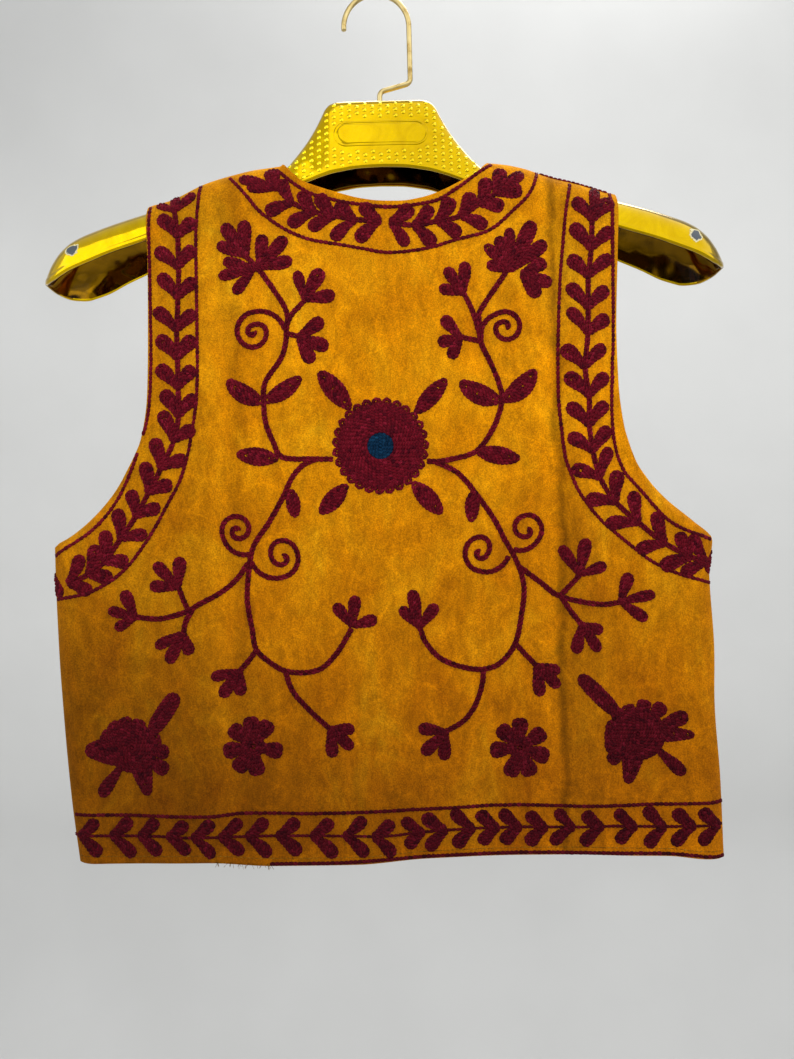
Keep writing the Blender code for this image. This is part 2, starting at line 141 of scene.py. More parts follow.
def path_normal(path: Array) -> Array:
    """Unit vectors to the left of a flat path."""
    tangent = unit(np.gradient(path, axis=0))
    return np.stack([-tangent[:, 1], tangent[:, 0]], axis=1)


def make_mesh(name: str, points: Array, quads: Array, tris: Array | None = None,
              uv: Array | None = None, tone: Array | None = None) -> bpy.types.Object:
    """Mesh object from arrays in millimetres.

    Args:
        name: the piece's name.
        points: one point a row.
        quads: four point numbers a row, anticlockwise seen from outside.
        tris: three point numbers a row.
        uv: a flat place in millimetres for each point, kept as the UV map "cloth".
        tone: a number from 0 to 1 for each point, kept as the attribute "tone".

    Returns:
        The new object, linked to the scene and shaded smooth.
    """
    mesh = bpy.data.meshes.new(name)
    tris = np.zeros((0, 3), int) if tris is None else tris
    corners = np.concatenate([quads.ravel(), tris.ravel()]).astype(np.int32)
    totals = np.concatenate([np.full(len(quads), 4), np.full(len(tris), 3)]).astype(np.int32)
    starts = np.concatenate([[0], np.cumsum(totals)[:-1]]).astype(np.int32)
    mesh.vertices.add(len(points))
    mesh.vertices.foreach_set("co", (points * MM).astype(np.float32).ravel())
    mesh.loops.add(len(corners))
    mesh.loops.foreach_set("vertex_index", corners)
    mesh.polygons.add(len(totals))
    mesh.polygons.foreach_set("loop_start", starts)
    mesh.update(calc_edges=True)
    mesh.validate()
    if uv is not None:
        layer = mesh.uv_layers.new(name="cloth")
        layer.data.foreach_set("uv", uv[corners].astype(np.float32).ravel())
    if tone is not None:
        mesh.attributes.new("tone", "FLOAT", "POINT").data.foreach_set("value", tone.astype(np.float32))
    mesh.shade_smooth()
    piece = bpy.data.objects.new(name, mesh)
    bpy.context.collection.objects.link(piece)
    return piece


def grid_quads(rows: int, columns: int, wrap: bool = False) -> Array:
    """Quads of a grid of points, its rows closed into rings if wrap is set."""
    r = np.arange(rows - 1)[:, None]
    c = np.arange(columns if wrap else columns - 1)[None, :]
    after = (c + 1) % columns
    return np.stack([r * columns + c, (r + 1) * columns + c,
                     (r + 1) * columns + after, r * columns + after], axis=-1).reshape(-1, 4)


def facing_out(piece: bpy.types.Object) -> bpy.types.Object:
    """Turn a closed mesh's faces outwards, by the sign of its volume."""
    mesh = piece.data
    mesh.calc_loop_triangles()
    points = np.zeros(len(mesh.vertices) * 3, np.float32)
    mesh.vertices.foreach_get("co", points)
    corners = np.zeros(len(mesh.loop_triangles) * 3, np.int32)
    mesh.loop_triangles.foreach_get("vertices", corners)
    a, b, c = (points.reshape(-1, 3)[corners.reshape(-1, 3)[:, k]] for k in range(3))
    if np.einsum("ij,ij->", a, np.cross(b, c)) < 0:
        mesh.flip_normals()
    return piece


# ---------------------------------------------------------------- finishes

def linear(hex_colour: str) -> tuple[float, float, float, float]:
    """An sRGB hex colour as linear red, green, blue and full alpha."""
    parts = [int(hex_colour[k:k + 2], 16) / 255 for k in (1, 3, 5)]
    low = [c / 12.92 if c <= 0.04045 else ((c + 0.055) / 1.055) ** 2.4 for c in parts]
    return (*low, 1.0)


def add_node(tree: bpy.types.NodeTree, kind: str, settings: dict | None = None,
             links: dict | None = None) -> bpy.types.Node:
    """Add one node to a material.

    Args:
        tree: the material's node tree.
        kind: the node's type, without the ShaderNode in front.
        settings: attribute or socket values; a number as key is a socket's place.
        links: input socket (name or place) to the output socket that feeds it.

    Returns:
        The new node.
    """
    node = tree.nodes.new("ShaderNode" + kind)
    for key, value in (settings or {}).items():
        if isinstance(key, str) and hasattr(node, key):
            setattr(node, key, value)
        else:
            node.inputs[key].default_value = value
    for key, source in (links or {}).items():
        tree.links.new(source, node.inputs[key])
    return node


def ramp_node(tree: bpy.types.NodeTree, source: bpy.types.NodeSocket,
              stops: Sequence[tuple[float, str]]) -> bpy.types.NodeSocket:
    """Colour ramp from (place, hex colour) stops, and its colour output."""
    node = add_node(tree, "ValToRGB", links={0: source})
    elements = node.color_ramp.elements
    while len(elements) < len(stops):
        elements.new(0.5)
    for element, (place, colour) in zip(elements, stops):
        element.position = place
        element.color = linear(colour)
    return node.outputs[0]


def blend_node(tree: bpy.types.NodeTree, share: bpy.types.NodeSocket | float,
               low: bpy.types.NodeSocket, high: bpy.types.NodeSocket | str
               ) -> bpy.types.NodeSocket:
    """Mix of two colours by a share, and its colour output."""
    node = add_node(tree, "Mix", {"data_type": "RGBA"}, {6: low})
    if isinstance(share, float):
        node.inputs[0].default_value = share
    else:
        tree.links.new(share, node.inputs[0])
    if isinstance(high, str):
        node.inputs[7].default_value = linear(high)
    else:
        tree.links.new(high, node.inputs[7])
    return node.outputs[2]


def range_node(tree: bpy.types.NodeTree, source: bpy.types.NodeSocket,
               span: tuple[float, float], values: tuple[float, float],
               easing: str = "LINEAR") -> bpy.types.NodeSocket:
    """Source over span carried over to values, and held at both ends."""
    settings = {"interpolation_type": easing, 1: span[0], 2: span[1], 3: values[0], 4: values[1]}
    return add_node(tree, "MapRange", settings, {0: source}).outputs[0]


def vary_node(tree: bpy.types.NodeTree, colour: bpy.types.NodeSocket,
              source: bpy.types.NodeSocket, span: tuple[float, float],
              factors: tuple[float, float]) -> bpy.types.NodeSocket:
    """A colour made darker or lighter: source over span gives its factor."""
    factor = range_node(tree, source, span, factors, "SMOOTHSTEP")
    return add_node(tree, "VectorMath", {"operation": "SCALE"}, {0: colour, 3: factor}).outputs[0]


def noise_node(tree: bpy.types.NodeTree, place: bpy.types.NodeSocket,
               **settings: float) -> bpy.types.NodeSocket:
    """Noise read at a place, from 0 to 1; a setting is a socket's name in small letters."""
    values = {name.capitalize(): value for name, value in settings.items()}
    return add_node(tree, "TexNoise", values, {0: place}).outputs[0]


def bump_node(tree: bpy.types.NodeTree, height: bpy.types.NodeSocket, strength: float,
              deep: float, normal: bpy.types.NodeSocket | None = None) -> bpy.types.NodeSocket:
    """A normal bent by a height, deep metres from 0 to 1, over another normal if there is one."""
    links = {"Height": height} if normal is None else {"Height": height, "Normal": normal}
    return add_node(tree, "Bump", {"Strength": strength, "Distance": deep}, links).outputs[0]


def math_node(tree: bpy.types.NodeTree, operation: str,
              *terms: bpy.types.NodeSocket | float) -> bpy.types.NodeSocket:
    """One sum of sockets and numbers, in order."""
    settings = {k: term for k, term in enumerate(terms) if isinstance(term, float)}
    links = {k: term for k, term in enumerate(terms) if not isinstance(term, float)}
    return add_node(tree, "Math", {"operation": operation, **settings}, links).outputs[0]


def distance_node(tree: bpy.types.NodeTree, place: bpy.types.NodeSocket,
                  middle: Sequence[float], half: Sequence[float]) -> bpy.types.NodeSocket:
    """How far a place is from a middle, 1 being the surface of the ellipsoid of half-widths."""
    scale = tuple(1 / h for h in half)
    shift = tuple(-m / h for m, h in zip(middle, half))
    local = add_node(tree, "Mapping", {"Scale": scale, "Location": shift}, {0: place}).outputs[0]
    return add_node(tree, "VectorMath", {"operation": "LENGTH"}, {0: local}).outputs[1]


class Finish:
    """A material made once, when it is first asked for."""

    def __init__(self, name: str, slot: str) -> None:
        """Name the finish and the record's slot it belongs to."""
        self.name = name
        self.slot = slot
        self.made: bpy.types.Material | None = None

    @property
    def material(self) -> bpy.types.Material:
        """The Blender material."""
        if self.made is None:
            self.made = bpy.data.materials.new(self.name)
            self.made.use_nodes = True
            tree = self.made.node_tree
            self.build(tree, tree.nodes["Principled BSDF"])
        return self.made

    def build(self, tree: bpy.types.NodeTree, shader: bpy.types.Node) -> None:
        """Add the finish's nodes; each finish has its own."""
        raise NotImplementedError

    def dress(self, *pieces: bpy.types.Object) -> None:
        """Give the finish to pieces."""
        for piece in pieces:
            piece.data.materials.clear()
            piece.data.materials.append(self.material)


class Velvet(Finish):
    """Cotton velvet, dyed mustard gold: a cut pile that a hand has brushed both ways.

    Pile lying towards the eye is dark and saturated, pile lying away is pale at its
    tips, so the cloth is mottled in patches some centimetres wide with soft edges.
    """

    #: lines of painted highlight and shade along the storage folds: x and half-width in metres, and how
    #: much lighter
    FOLD_LIGHT_AND_SHADE = ((-0.111, 0.009, 1.15), (-0.098, 0.010, 0.83), (0.099, 0.008, 1.13),
               (0.1085, 0.005, 0.64), (0.052, 0.005, 1.10), (-0.030, 0.006, 1.08))

    #: shade laid into the colour in two soft areas, each through the cloth's whole depth:
    #: middle and half-width along x, y and z, in metres, and how much lighter
    SOFT_LIGHT_AND_SHADE = (((0.128, 0.0, -0.278), (0.042, math.inf, 0.090), 1.28),
               ((-0.118, 0.0, -0.146), (0.036, math.inf, 0.034), 0.74))

    #: crushed lines: noise scale, how far it bends, half-thickness of the line, how much paler
    CRUSHED = ((15.0, 0.8, 0.030, 1.15), (33.0, 1.0, 0.035, 1.09), (9.0, 1.6, 0.010, 1.12))

    def __init__(self, name: str, seed: float) -> None:
        """Name the cloth and shift its patches."""
        super().__init__(name, "mustard_velvet")
        self.seed = seed

    def build(self, tree: bpy.types.NodeTree, shader: bpy.types.Node) -> None:
        """Brushed patches, painted light and shade, fine pile, wear lines and a paler fuzz at grazing
        angles.
        """
        place = add_node(tree, "TexCoord").outputs["Object"]
        moved = add_node(tree, "Mapping", {"Location": (self.seed, 0.0, 0.0)}, {0: place}).outputs[0]
        # patches brushed by a hand: 50 mm across, pulled a little along the height
        tall = add_node(tree, "Mapping", {"Scale": (1.2, 1.0, 0.8)}, {0: moved}).outputs[0]
        patches = noise_node(tree, tall, scale=22.0, detail=5.0, roughness=0.66, distortion=0.5)
        # smaller scuffs, 8 mm, in short upright strokes
        strokes = add_node(tree, "Mapping", {"Scale": (1.0, 1.0, 0.45)}, {0: moved}).outputs[0]
        scuffs = noise_node(tree, strokes, scale=150.0, detail=5.0, roughness=0.78, distortion=0.3)
        # pile tufts, drawn 0.9 mm wide where real ones are 0.3, so that they show
        pile = noise_node(tree, moved, scale=1150.0, detail=2.0, roughness=0.6)
        axes = add_node(tree, "SeparateXYZ", links={0: place}).outputs
        # shade laid into the colour: the cloth is shown darker downwards
        fall = range_node(tree, axes[2], (-0.56, -0.24), (0.0, 1.0), "SMOOTHSTEP")
        base = ramp_node(tree, patches, [(0.28, "#bc7100"), (0.42, "#c97d00"), (0.52, "#d08602"),
                                         (0.64, "#d79105"), (0.78, "#e6ac15")])
        low = ramp_node(tree, patches, [(0.28, "#8c4900"), (0.42, "#985500"), (0.54, "#a15c00"),
                                        (0.74, "#b07004")])
        hung = blend_node(tree, fall, low, base)
        # shade laid into the colour: the lower left corner is darker again
        corner = math_node(tree, "MULTIPLY_ADD", axes[0], 0.55, axes[2])
        hung = vary_node(tree, hung, corner, (-0.60, -0.44), (0.60, 1.0))
        # shade laid into the colour: the hem is shown a little lighter
        hung = vary_node(tree, hung, axes[2], (-0.595, -0.535), (1.45, 1.0))
        # the storage fold, 107 mm to the right, is a sharp step in tone that wavers a little;
        # the broad steps at both sides are shade laid into the colour
        waver = math_node(tree, "MULTIPLY_ADD", patches, 0.02, -0.01)
        across = math_node(tree, "ADD", axes[0], waver)
        shaded_and_crushed = vary_node(tree, hung, across, (-0.135, -0.085), (0.80, 1.0))
        shaded_and_crushed = vary_node(tree, shaded_and_crushed, across, (0.104, 0.110), (1.0, 0.76))
        shaded_and_crushed = vary_node(tree, shaded_and_crushed, across, (0.112, 0.150), (1.0, 1.27))
        # painted highlight and shade along the fold lines
        for middle, half, gain in self.FOLD_LIGHT_AND_SHADE:
            off = math_node(tree, "ABSOLUTE", math_node(tree, "SUBTRACT", across, middle))
            shaded_and_crushed = vary_node(tree, shaded_and_crushed, off, (0.0, half), (gain, 1.0))
        # painted light and shade in two soft areas
        for middle, half, gain in self.SOFT_LIGHT_AND_SHADE:
            away = distance_node(tree, place, middle, half)
            shaded_and_crushed = vary_node(tree, shaded_and_crushed, away, (0.2, 1.0), (gain, 1.0))
        # pale wandering lines where the pile was crushed as the cloth lay crumpled
        for size, bend, thin, gain in self.CRUSHED:
            crushed = noise_node(tree, moved, scale=size, detail=2.0, distortion=bend)
            line = math_node(tree, "ABSOLUTE", math_node(tree, "SUBTRACT", crushed, 0.5))
            shaded_and_crushed = vary_node(tree, shaded_and_crushed, line, (0.0, thin), (gain, 1.0))
        marked = vary_node(tree, shaded_and_crushed, scuffs, (0.30, 0.70), (0.79, 1.22))
        tufted = vary_node(tree, marked, pile, (0.25, 0.75), (0.70, 1.30))
        tree.links.new(tufted, shader.inputs["Base Color"])
        shader.inputs["Roughness"].default_value = 0.85
        shader.inputs["Specular IOR Level"].default_value = 0.06
        shader.inputs["Sheen Weight"].default_value = 0.30
        shader.inputs["Sheen Roughness"].default_value = 0.35
        shader.inputs["Sheen Tint"].default_value = linear("#ffc400")
        scuffed = bump_node(tree, scuffs, 0.35, 0.0012)
        bump = bump_node(tree, pile, 0.55, 0.0004, scuffed)
        tree.links.new(bump, shader.inputs["Normal"])


class Thread(Finish):
    """Two-ply mercerised cotton thread: a soft lustre broken by the twist of its plies."""

    def __init__(self, name: str, slot: str, dark: str, mid: str, light: str) -> None:
        """Name the thread and give the colours it runs through."""
        super().__init__(name, slot)
        self.colours = (dark, mid, light)

    def build(self, tree: bpy.types.NodeTree, shader: bpy.types.Node) -> None:
        """Tone from stitch to stitch, the ply's twist along each, and fine fibres."""
        dark, mid, light = self.colours
        tone = add_node(tree, "Attribute", {"attribute_name": "tone"}).outputs["Fac"]
        uv = add_node(tree, "UVMap", {"uv_map": "cloth"}).outputs[0]
        # plies cross the strand at 45 degrees, 0.6 mm apart; the UV map is in millimetres
        twist = add_node(tree, "TexWave", {"wave_type": "BANDS", "bands_direction": "DIAGONAL",
                                           "Scale": 0.27, "Distortion": 0.8, "Detail": 1.0},
                         {0: uv}).outputs[1]
        place = add_node(tree, "TexCoord").outputs["Object"]
        fibres = noise_node(tree, place, scale=1600.0, detail=3.0)
        colour = ramp_node(tree, tone, [(0.0, dark), (0.55, mid), (1.0, light)])
        # shade laid into the colour, as on the cloth under it
        height = add_node(tree, "SeparateXYZ", links={0: place}).outputs[2]
        colour = vary_node(tree, colour, height, (-0.56, -0.30), (0.50, 1.0))
        # painted shade in the grooves between the plies and painted highlight on their crests, with a
        # bump as well
        ply_shaded = vary_node(tree, colour, twist, (0.0, 0.6), (0.62, 1.12))
        fibred = vary_node(tree, ply_shaded, fibres, (0.3, 0.75), (0.8, 1.25))
        tree.links.new(fibred, shader.inputs["Base Color"])
        shader.inputs["Roughness"].default_value = 0.6
        shader.inputs["Specular IOR Level"].default_value = 0.07
        bump = bump_node(tree, twist, 0.5, 0.00015)
        tree.links.new(bump, shader.inputs["Normal"])


class Plating(Finish):
    """Vacuum-metallised plastic under yellow lacquer: a mirror with a slight orange peel.

    Handling has dulled it in patches, and at two knocks the film has chipped off a
    slate-coloured plastic, with a pale edge of lifted lacquer round each chip.
    """

    #: middle of a chip (x, y, z) and its half-width along x, y and z, in metres
    CHIPS = (((-0.2053, -0.003, -0.1626), (0.0056, 0.010, 0.0042)),
             ((0.2060, -0.003, -0.1635), (0.0050, 0.010, 0.0050)))

    def __init__(self, name: str, gold: str, thin: str, roughness: float, ripple: float) -> None:
        """Name the plating, its colour full and thin, how clear it is and how wavy."""
        super().__init__(name, "gold_plating")
        self.gold, self.thin = gold, thin
        self.roughness, self.ripple = roughness, ripple

    def build(self, tree: bpy.types.NodeTree, shader: bpy.types.Node) -> None:
        """Mirror, handling marks and the two chips."""
        place = add_node(tree, "TexCoord").outputs["Object"]
        peel = noise_node(tree, place, scale=190.0, detail=2.0)
        smears = noise_node(tree, place, scale=45.0, detail=6.0, roughness=0.65, distortion=1.2)
        ragged = noise_node(tree, place, scale=330.0, detail=3.0)
        near = None
        for middle, half in self.CHIPS:
            away = distance_node(tree, place, middle, half)
            near = away if near is None else math_node(tree, "MINIMUM", near, away)
        away = math_node(tree, "ADD", near, math_node(tree, "MULTIPLY_ADD", ragged, 1.1, -0.55))
        chip = range_node(tree, away, (0.80, 0.72), (0.0, 1.0))
        rim = range_node(tree, away, (1.02, 0.94), (0.0, 1.0))
        gold = ramp_node(tree, smears, [(0.3, self.gold), (0.75, self.thin)])
        # shade laid into the colour: the left arm is shown lighter than the right
        across = add_node(tree, "SeparateXYZ", links={0: place}).outputs[0]
        gold = vary_node(tree, gold, across, (-0.07, 0.03), (1.3, 0.82))
        worn = blend_node(tree, rim, gold, "#d9cfa0")
        tree.links.new(blend_node(tree, chip, worn, "#3c444c"), shader.inputs["Base Color"])
        bare = math_node(tree, "SUBTRACT", 1.0, rim)
        tree.links.new(bare, shader.inputs["Metallic"])
        dull = range_node(tree, smears, (0.35, 0.75), (self.roughness, self.roughness + 0.10))
        rough = range_node(tree, rim, (0.0, 1.0), (0.0, 0.45))
        both = math_node(tree, "MAXIMUM", dull, rough)
        tree.links.new(both, shader.inputs["Roughness"])
        step = bump_node(tree, bare, 0.6, 0.0003)
        # the moulding's own sink marks: waves 30 mm long that bend what it mirrors
        waves = noise_node(tree, place, scale=42.0, detail=1.0)
        sunk = bump_node(tree, waves, self.ripple, 0.006, step)
        bump = bump_node(tree, peel, 0.10, 0.0002, sunk)
        shader.inputs["Coat Weight"].default_value = 0.08
        shader.inputs["Coat Roughness"].default_value = 0.05
        tree.links.new(bump, shader.inputs["Normal"])


class BrassedWire(Finish):
    """Steel wire, brass-plated after drawing: satin, with faint lines along its length."""

    def __init__(self) -> None:
        """Name the wire's finish."""
        super().__init__("brassed_steel_wire", "gold_wire")

    def build(self, tree: bpy.types.NodeTree, shader: bpy.types.Node) -> None:
        """Pale gold, darker where the plating is thin, and drawn lines."""
        place = add_node(tree, "TexCoord").outputs["Object"]
        stains = noise_node(tree, place, scale=120.0, detail=5.0)
        uv = add_node(tree, "UVMap", {"uv_map": "cloth"}).outputs[0]
        # die lines run along the wire, 0.3 mm apart; v is the length in millimetres
        drawn = add_node(tree, "Mapping", {"Scale": (3.0, 0.04, 1.0)}, {0: uv}).outputs[0]
        lines = noise_node(tree, drawn, scale=1.0, detail=3.0)
        colour = ramp_node(tree, stains, [(0.25, "#9a7f45"), (0.45, "#cdb67a"), (0.7, "#dccb96")])
        tree.links.new(colour, shader.inputs["Base Color"])
        shader.inputs["Metallic"].default_value = 1.0
        rough = range_node(tree, stains, (0.3, 0.7), (0.24, 0.40))
        tree.links.new(rough, shader.inputs["Roughness"])
        bump = bump_node(tree, lines, 0.25, 0.0001)
        tree.links.new(bump, shader.inputs["Normal"])


class Distemper(Finish):
    """Matt pale paint of the studio's floor and wall."""

    def __init__(self) -> None:
        """Name the paint; it belongs to no slot of the object."""
        super().__init__("pale_matt_paint", "")

    def build(self, tree: bpy.types.NodeTree, shader: bpy.types.Node) -> None:
        """Pale grey with a very faint roller mark, and painted shade that makes it a little darker high
        up and low down.
        """
        place = add_node(tree, "TexCoord").outputs["Object"]
        cloud = noise_node(tree, place, scale=3.0, detail=4.0)
        grey = ramp_node(tree, cloud, [(0.3, "#d2d2d0"), (0.7, "#d8d8d6")])
        height = add_node(tree, "SeparateXYZ", links={0: place}).outputs[2]
        # painted shade: the sweep is darker low down and high up
        grey = vary_node(tree, grey, height, (-1.5, -0.6), (0.78, 1.0))
        grey = vary_node(tree, grey, height, (0.1, 0.9), (1.0, 0.80))
        tree.links.new(grey, shader.inputs["Base Color"])
        shader.inputs["Roughness"].default_value = 0.9


VELVET_BACK = Velvet("cotton_velvet_back", 0.0)
VELVET_LEFT = Velvet("cotton_velvet_left_front", 0.7)
VELVET_RIGHT = Velvet("cotton_velvet_right_front", 1.9)
MAROON = Thread("maroon_cotton_thread", "maroon_thread", "#400010", "#680819", "#82142a")
TEAL = Thread("teal_cotton_thread", "teal_thread", "#001e36", "#042c48", "#103f5c")
MUSTARD = Thread("mustard_sewing_thread", "mustard_velvet", "#7a4d08", "#a87414", "#d6a538")
GOLD = Plating("gold_lacquered_plating", "#d8b400", "#c09a00", 0.09, 0.12)
# painted highlight: the studs take a brighter copy of the same gold
GOLD_PAINTED_BRIGHTER = Plating("gold_plating_painted_brighter_on_the_studs", "#fcdc20", "#e8c408", 0.14, 0.12)
# painted shade: a darker copy of the gold for the hollow's inner faces and the ribs
GOLD_PAINTED_DARK = Plating("gold_plating_painted_dark_in_the_hollow", "#866008", "#5c4004", 0.10, 1.0)
WIRE_FINISH = BrassedWire()
PAINT = Distemper()


# ---------------------------------------------------------------- the hanger's form

@dataclass(frozen=True)
class HangerForm:
    """Sizes of the hanger's moulded shell, as the frame has them."""

    plate_taper: float = 0.34      # the centre block is this much thinner at its top
    plate_end: float = 36.0        # half-width of the boxy centre block
    arm_start: float = 74.0        # beyond it the section is fully round
    plate_power: float = 0.36      # roundness of the section, 1 is an ellipse
    arm_power: float = 0.82
    wall: float = 2.2
    slant_limit: float = 2.2       # most that a steep crest thickens the wall
    #: distance from the middle, crest, rim on the back's side, how much lower the other
    #: rim is, plan offset, half-depth
    sections: Array = field(default_factory=lambda: np.array([
        # x,     crest,   rim,   drop,  mid,  half
        (0.0,   -71.6, -118.7,  0.0,  0.0, 16.5),
        (14.0,  -71.6, -119.2,  0.0,  0.0, 16.5),
        (27.0,  -71.7, -121.0,  0.0,  0.2, 16.5),
        (32.0,  -72.8, -121.9,  0.0,  0.3, 16.5),
        (35.4,  -75.6, -122.8,  0.0,  0.4, 16.5),
        (38.4,  -81.2, -123.7,  0.1,  0.5, 16.6),
        (41.8,  -87.6, -124.7,  0.2,  0.6, 16.6),
        (46.0,  -94.4, -126.2,  0.3,  0.8, 16.7),
        (51.0, -101.2, -128.0,  0.5,  1.0, 16.8),
        (56.6, -107.8, -130.3,  0.7,  1.3, 17.0),
        (62.2, -113.8, -132.3,  1.0,  1.7, 17.2),
        (69.0, -118.8, -134.5,  1.4,  2.2, 17.5),
        (82.0, -122.6, -138.2,  2.0,  3.2, 18.1),
        (104.0, -126.6, -144.6,  3.0,  5.2, 19.1),
        (130.0, -131.8, -152.2,  4.2,  8.2, 20.3),
        (157.0, -137.4, -160.2,  5.4, 11.6, 21.6),
        (180.0, -143.0, -166.6,  7.2, 14.6, 22.7),
        (197.0, -148.0, -172.2,  9.0, 16.6, 22.9),
        (207.5, -152.2, -175.6,  9.0, 17.6, 21.8),
        (215.5, -157.6, -178.4,  7.2, 18.2, 19.0),
        (222.0, -164.6, -180.2,  5.0, 18.5, 14.6),
        (227.0, -171.8, -180.6,  2.6, 18.8,  9.2),
        (230.2, -176.8, -180.0,  0.9, 19.0,  4.2),
        (231.5, -179.4, -179.4,  0.0, 19.0,  0.0),
    ]))

    def value(self, name: str, x: Array) -> Array:
        """One named column of the sections, read at distance |x|."""
        column = ("x", "crest", "rim", "drop", "mid", "half").index(name)
        return table_curve(self.sections, np.abs(x), column)

    def boxy(self, x: Array) -> Array:
        """1 in the boxy centre block, 0 on the round arms."""
        return 1.0 - ease(self.plate_end, self.arm_start, np.abs(x))

    def power(self, x: Array) -> Array:
        """Exponent of the section's curve at x."""
        return self.arm_power + (self.plate_power - self.arm_power) * self.boxy(x)

    def surface(self, x: Array, angle: Array, inset: float) -> Array:
        """Points of one face of the shell.

        A section is a super-ellipse arch: depth follows sine^p and height cosine^p of
        the angle, from the near rim at -90 degrees over the crest to the far rim at 90.

        Args:
            x: places along the hanger, a row.
            angle: angles round the section, in rows for each place.
            inset: how far inside the outer face.

        Returns:
            Points with rows along the angle and columns along x.
        """
        steep = np.abs(np.gradient(self.value("crest", x), x))
        slant = np.minimum(np.sqrt(1 + steep ** 2), self.slant_limit)
        rim, drop = self.value("rim", x), self.value("drop", x)
        crest = np.maximum(self.value("crest", x) - inset * slant, rim)
        half = np.maximum(self.value("half", x) - inset, 0.0)
        power = self.power(x)
        sine = np.sign(angle) * np.abs(np.sin(angle)) ** power
        cosine = np.abs(np.cos(angle)) ** power
        cosine[[0, -1]] = 0.0
        low = rim - drop * (1.0 + sine) / 2
        z = low + (crest - low) * cosine
        y = self.value("mid", x) + half * sine * (1.0 - self.plate_taper * self.boxy(x) * cosine)
        tip = 1.0 - inset / self.sections[-1, 0]
        return np.stack([np.broadcast_to(x * tip, z.shape), y, z], axis=2)


HANGER = HangerForm()


# ---------------------------------------------------------------- the cloth's form

SHOULDER_LINE = np.array([
    # x,      height of the cloth over the shoulder seam
    (-152.5, -136.2), (-134.0, -128.8), (-115.0, -120.6), (-97.0, -116.2), (-80.0, -113.4),
    (-64.0, -112.6), (69.5, -113.8), (80.0, -114.6), (93.0, -117.2), (109.0, -122.8),
    (124.0, -126.0), (138.0, -129.6), (152.0, -134.4),
])
NECK_SCOOP = np.array([
    # x,     height of the back's neck edge
    (-64.0, -112.6), (-58.5, -120.6), (-51.0, -127.6), (-39.5, -132.4), (-27.0, -136.6),
    (-14.0, -140.3), (-1.0, -142.2), (11.5, -142.6), (24.5, -140.9), (37.0, -137.0),
    (50.0, -130.8), (60.0, -125.6), (66.0, -119.0), (69.5, -113.8),
])
LEFT_EDGE = np.array([
    # level, x of the left armhole and side seam
    (-136.2, -153.5), (-172.0, -152.2), (-224.0, -153.2), (-262.0, -154.9), (-289.0, -159.6),
    (-314.0, -173.2), (-328.0, -184.6), (-341.0, -198.0), (-351.0, -211.0), (-358.5, -222.4),
    (-374.0, -222.4), (-425.0, -221.4), (-470.0, -219.2), (-523.0, -215.4), (-566.0, -210.6),
])
RIGHT_EDGE = np.array([
    # level, x of the right armhole and side seam
    (-134.4, 153.0), (-178.0, 150.6), (-229.0, 148.6), (-258.0, 149.2), (-284.5, 152.2),
    (-306.0, 160.0), (-319.6, 170.4), (-332.4, 183.2), (-345.2, 199.2), (-358.5, 212.4),
    (-378.0, 209.8), (-431.0, 211.8), (-464.0, 211.0), (-517.0, 213.4), (-569.0, 214.2),
])
HEM_LINE = np.array([
    # x,      height of the hem
    (-209.0, -564.0), (-180.0, -564.2), (-128.0, -565.2), (-84.0, -568.6), (-30.0, -569.0),
    (16.0, -565.8), (55.0, -565.0), (108.0, -565.8), (150.0, -567.8), (176.0, -568.6),
    (200.0, -571.4), (212.4, -571.8),
])
FRONT_EDGE = np.array([
    # level, distance of a front's inner edge from the middle
    (-110.0, 66.5), (-150.0, 59.0), (-200.0, 46.5), (-250.0, 32.5), (-300.0, 17.0),
    (-332.0, 7.6), (-346.0, 4.8), (-575.0, 6.6),
])
NECK_LEFT, NECK_RIGHT = -64.0, 69.5
SHOULDER_HALF, CHEST_HALF = 152.0, 215.0
FAR = 1e3                    # stands for no edge near


@dataclass(frozen=True)
class Crease:
    """One soft ridge (height above 0) or trough along a line on a panel."""

    top: Place                 # where it begins
    foot: Place                # where it dies away
    height: float              # at its middle
    left: float                # how far it reaches to its left
    right: float               # and to its right
    sharp: float = 2.0         # 2 is a soft round fold, 1 a pressed edge

    def relief(self, x: Array, z: Array) -> Array:
        """Height at places: falls off as exp(-|across / reach|^sharp), eased at both ends."""
        top, foot = np.array(self.top), np.array(self.foot)
        length = float(np.linalg.norm(foot - top))
        way = (foot - top) / length
        along = (x - top[0]) * way[0] + (z - top[1]) * way[1]
        across = (x - top[0]) * -way[1] + (z - top[1]) * way[0]
        reach = np.where(across > 0, self.right, self.left)
        ends = ease(-0.12 * length, 0.22 * length, along)
        ends = ends * ease(1.12 * length, 0.72 * length, along)
        return self.height * ends * np.exp(-np.abs(across / reach) ** self.sharp)


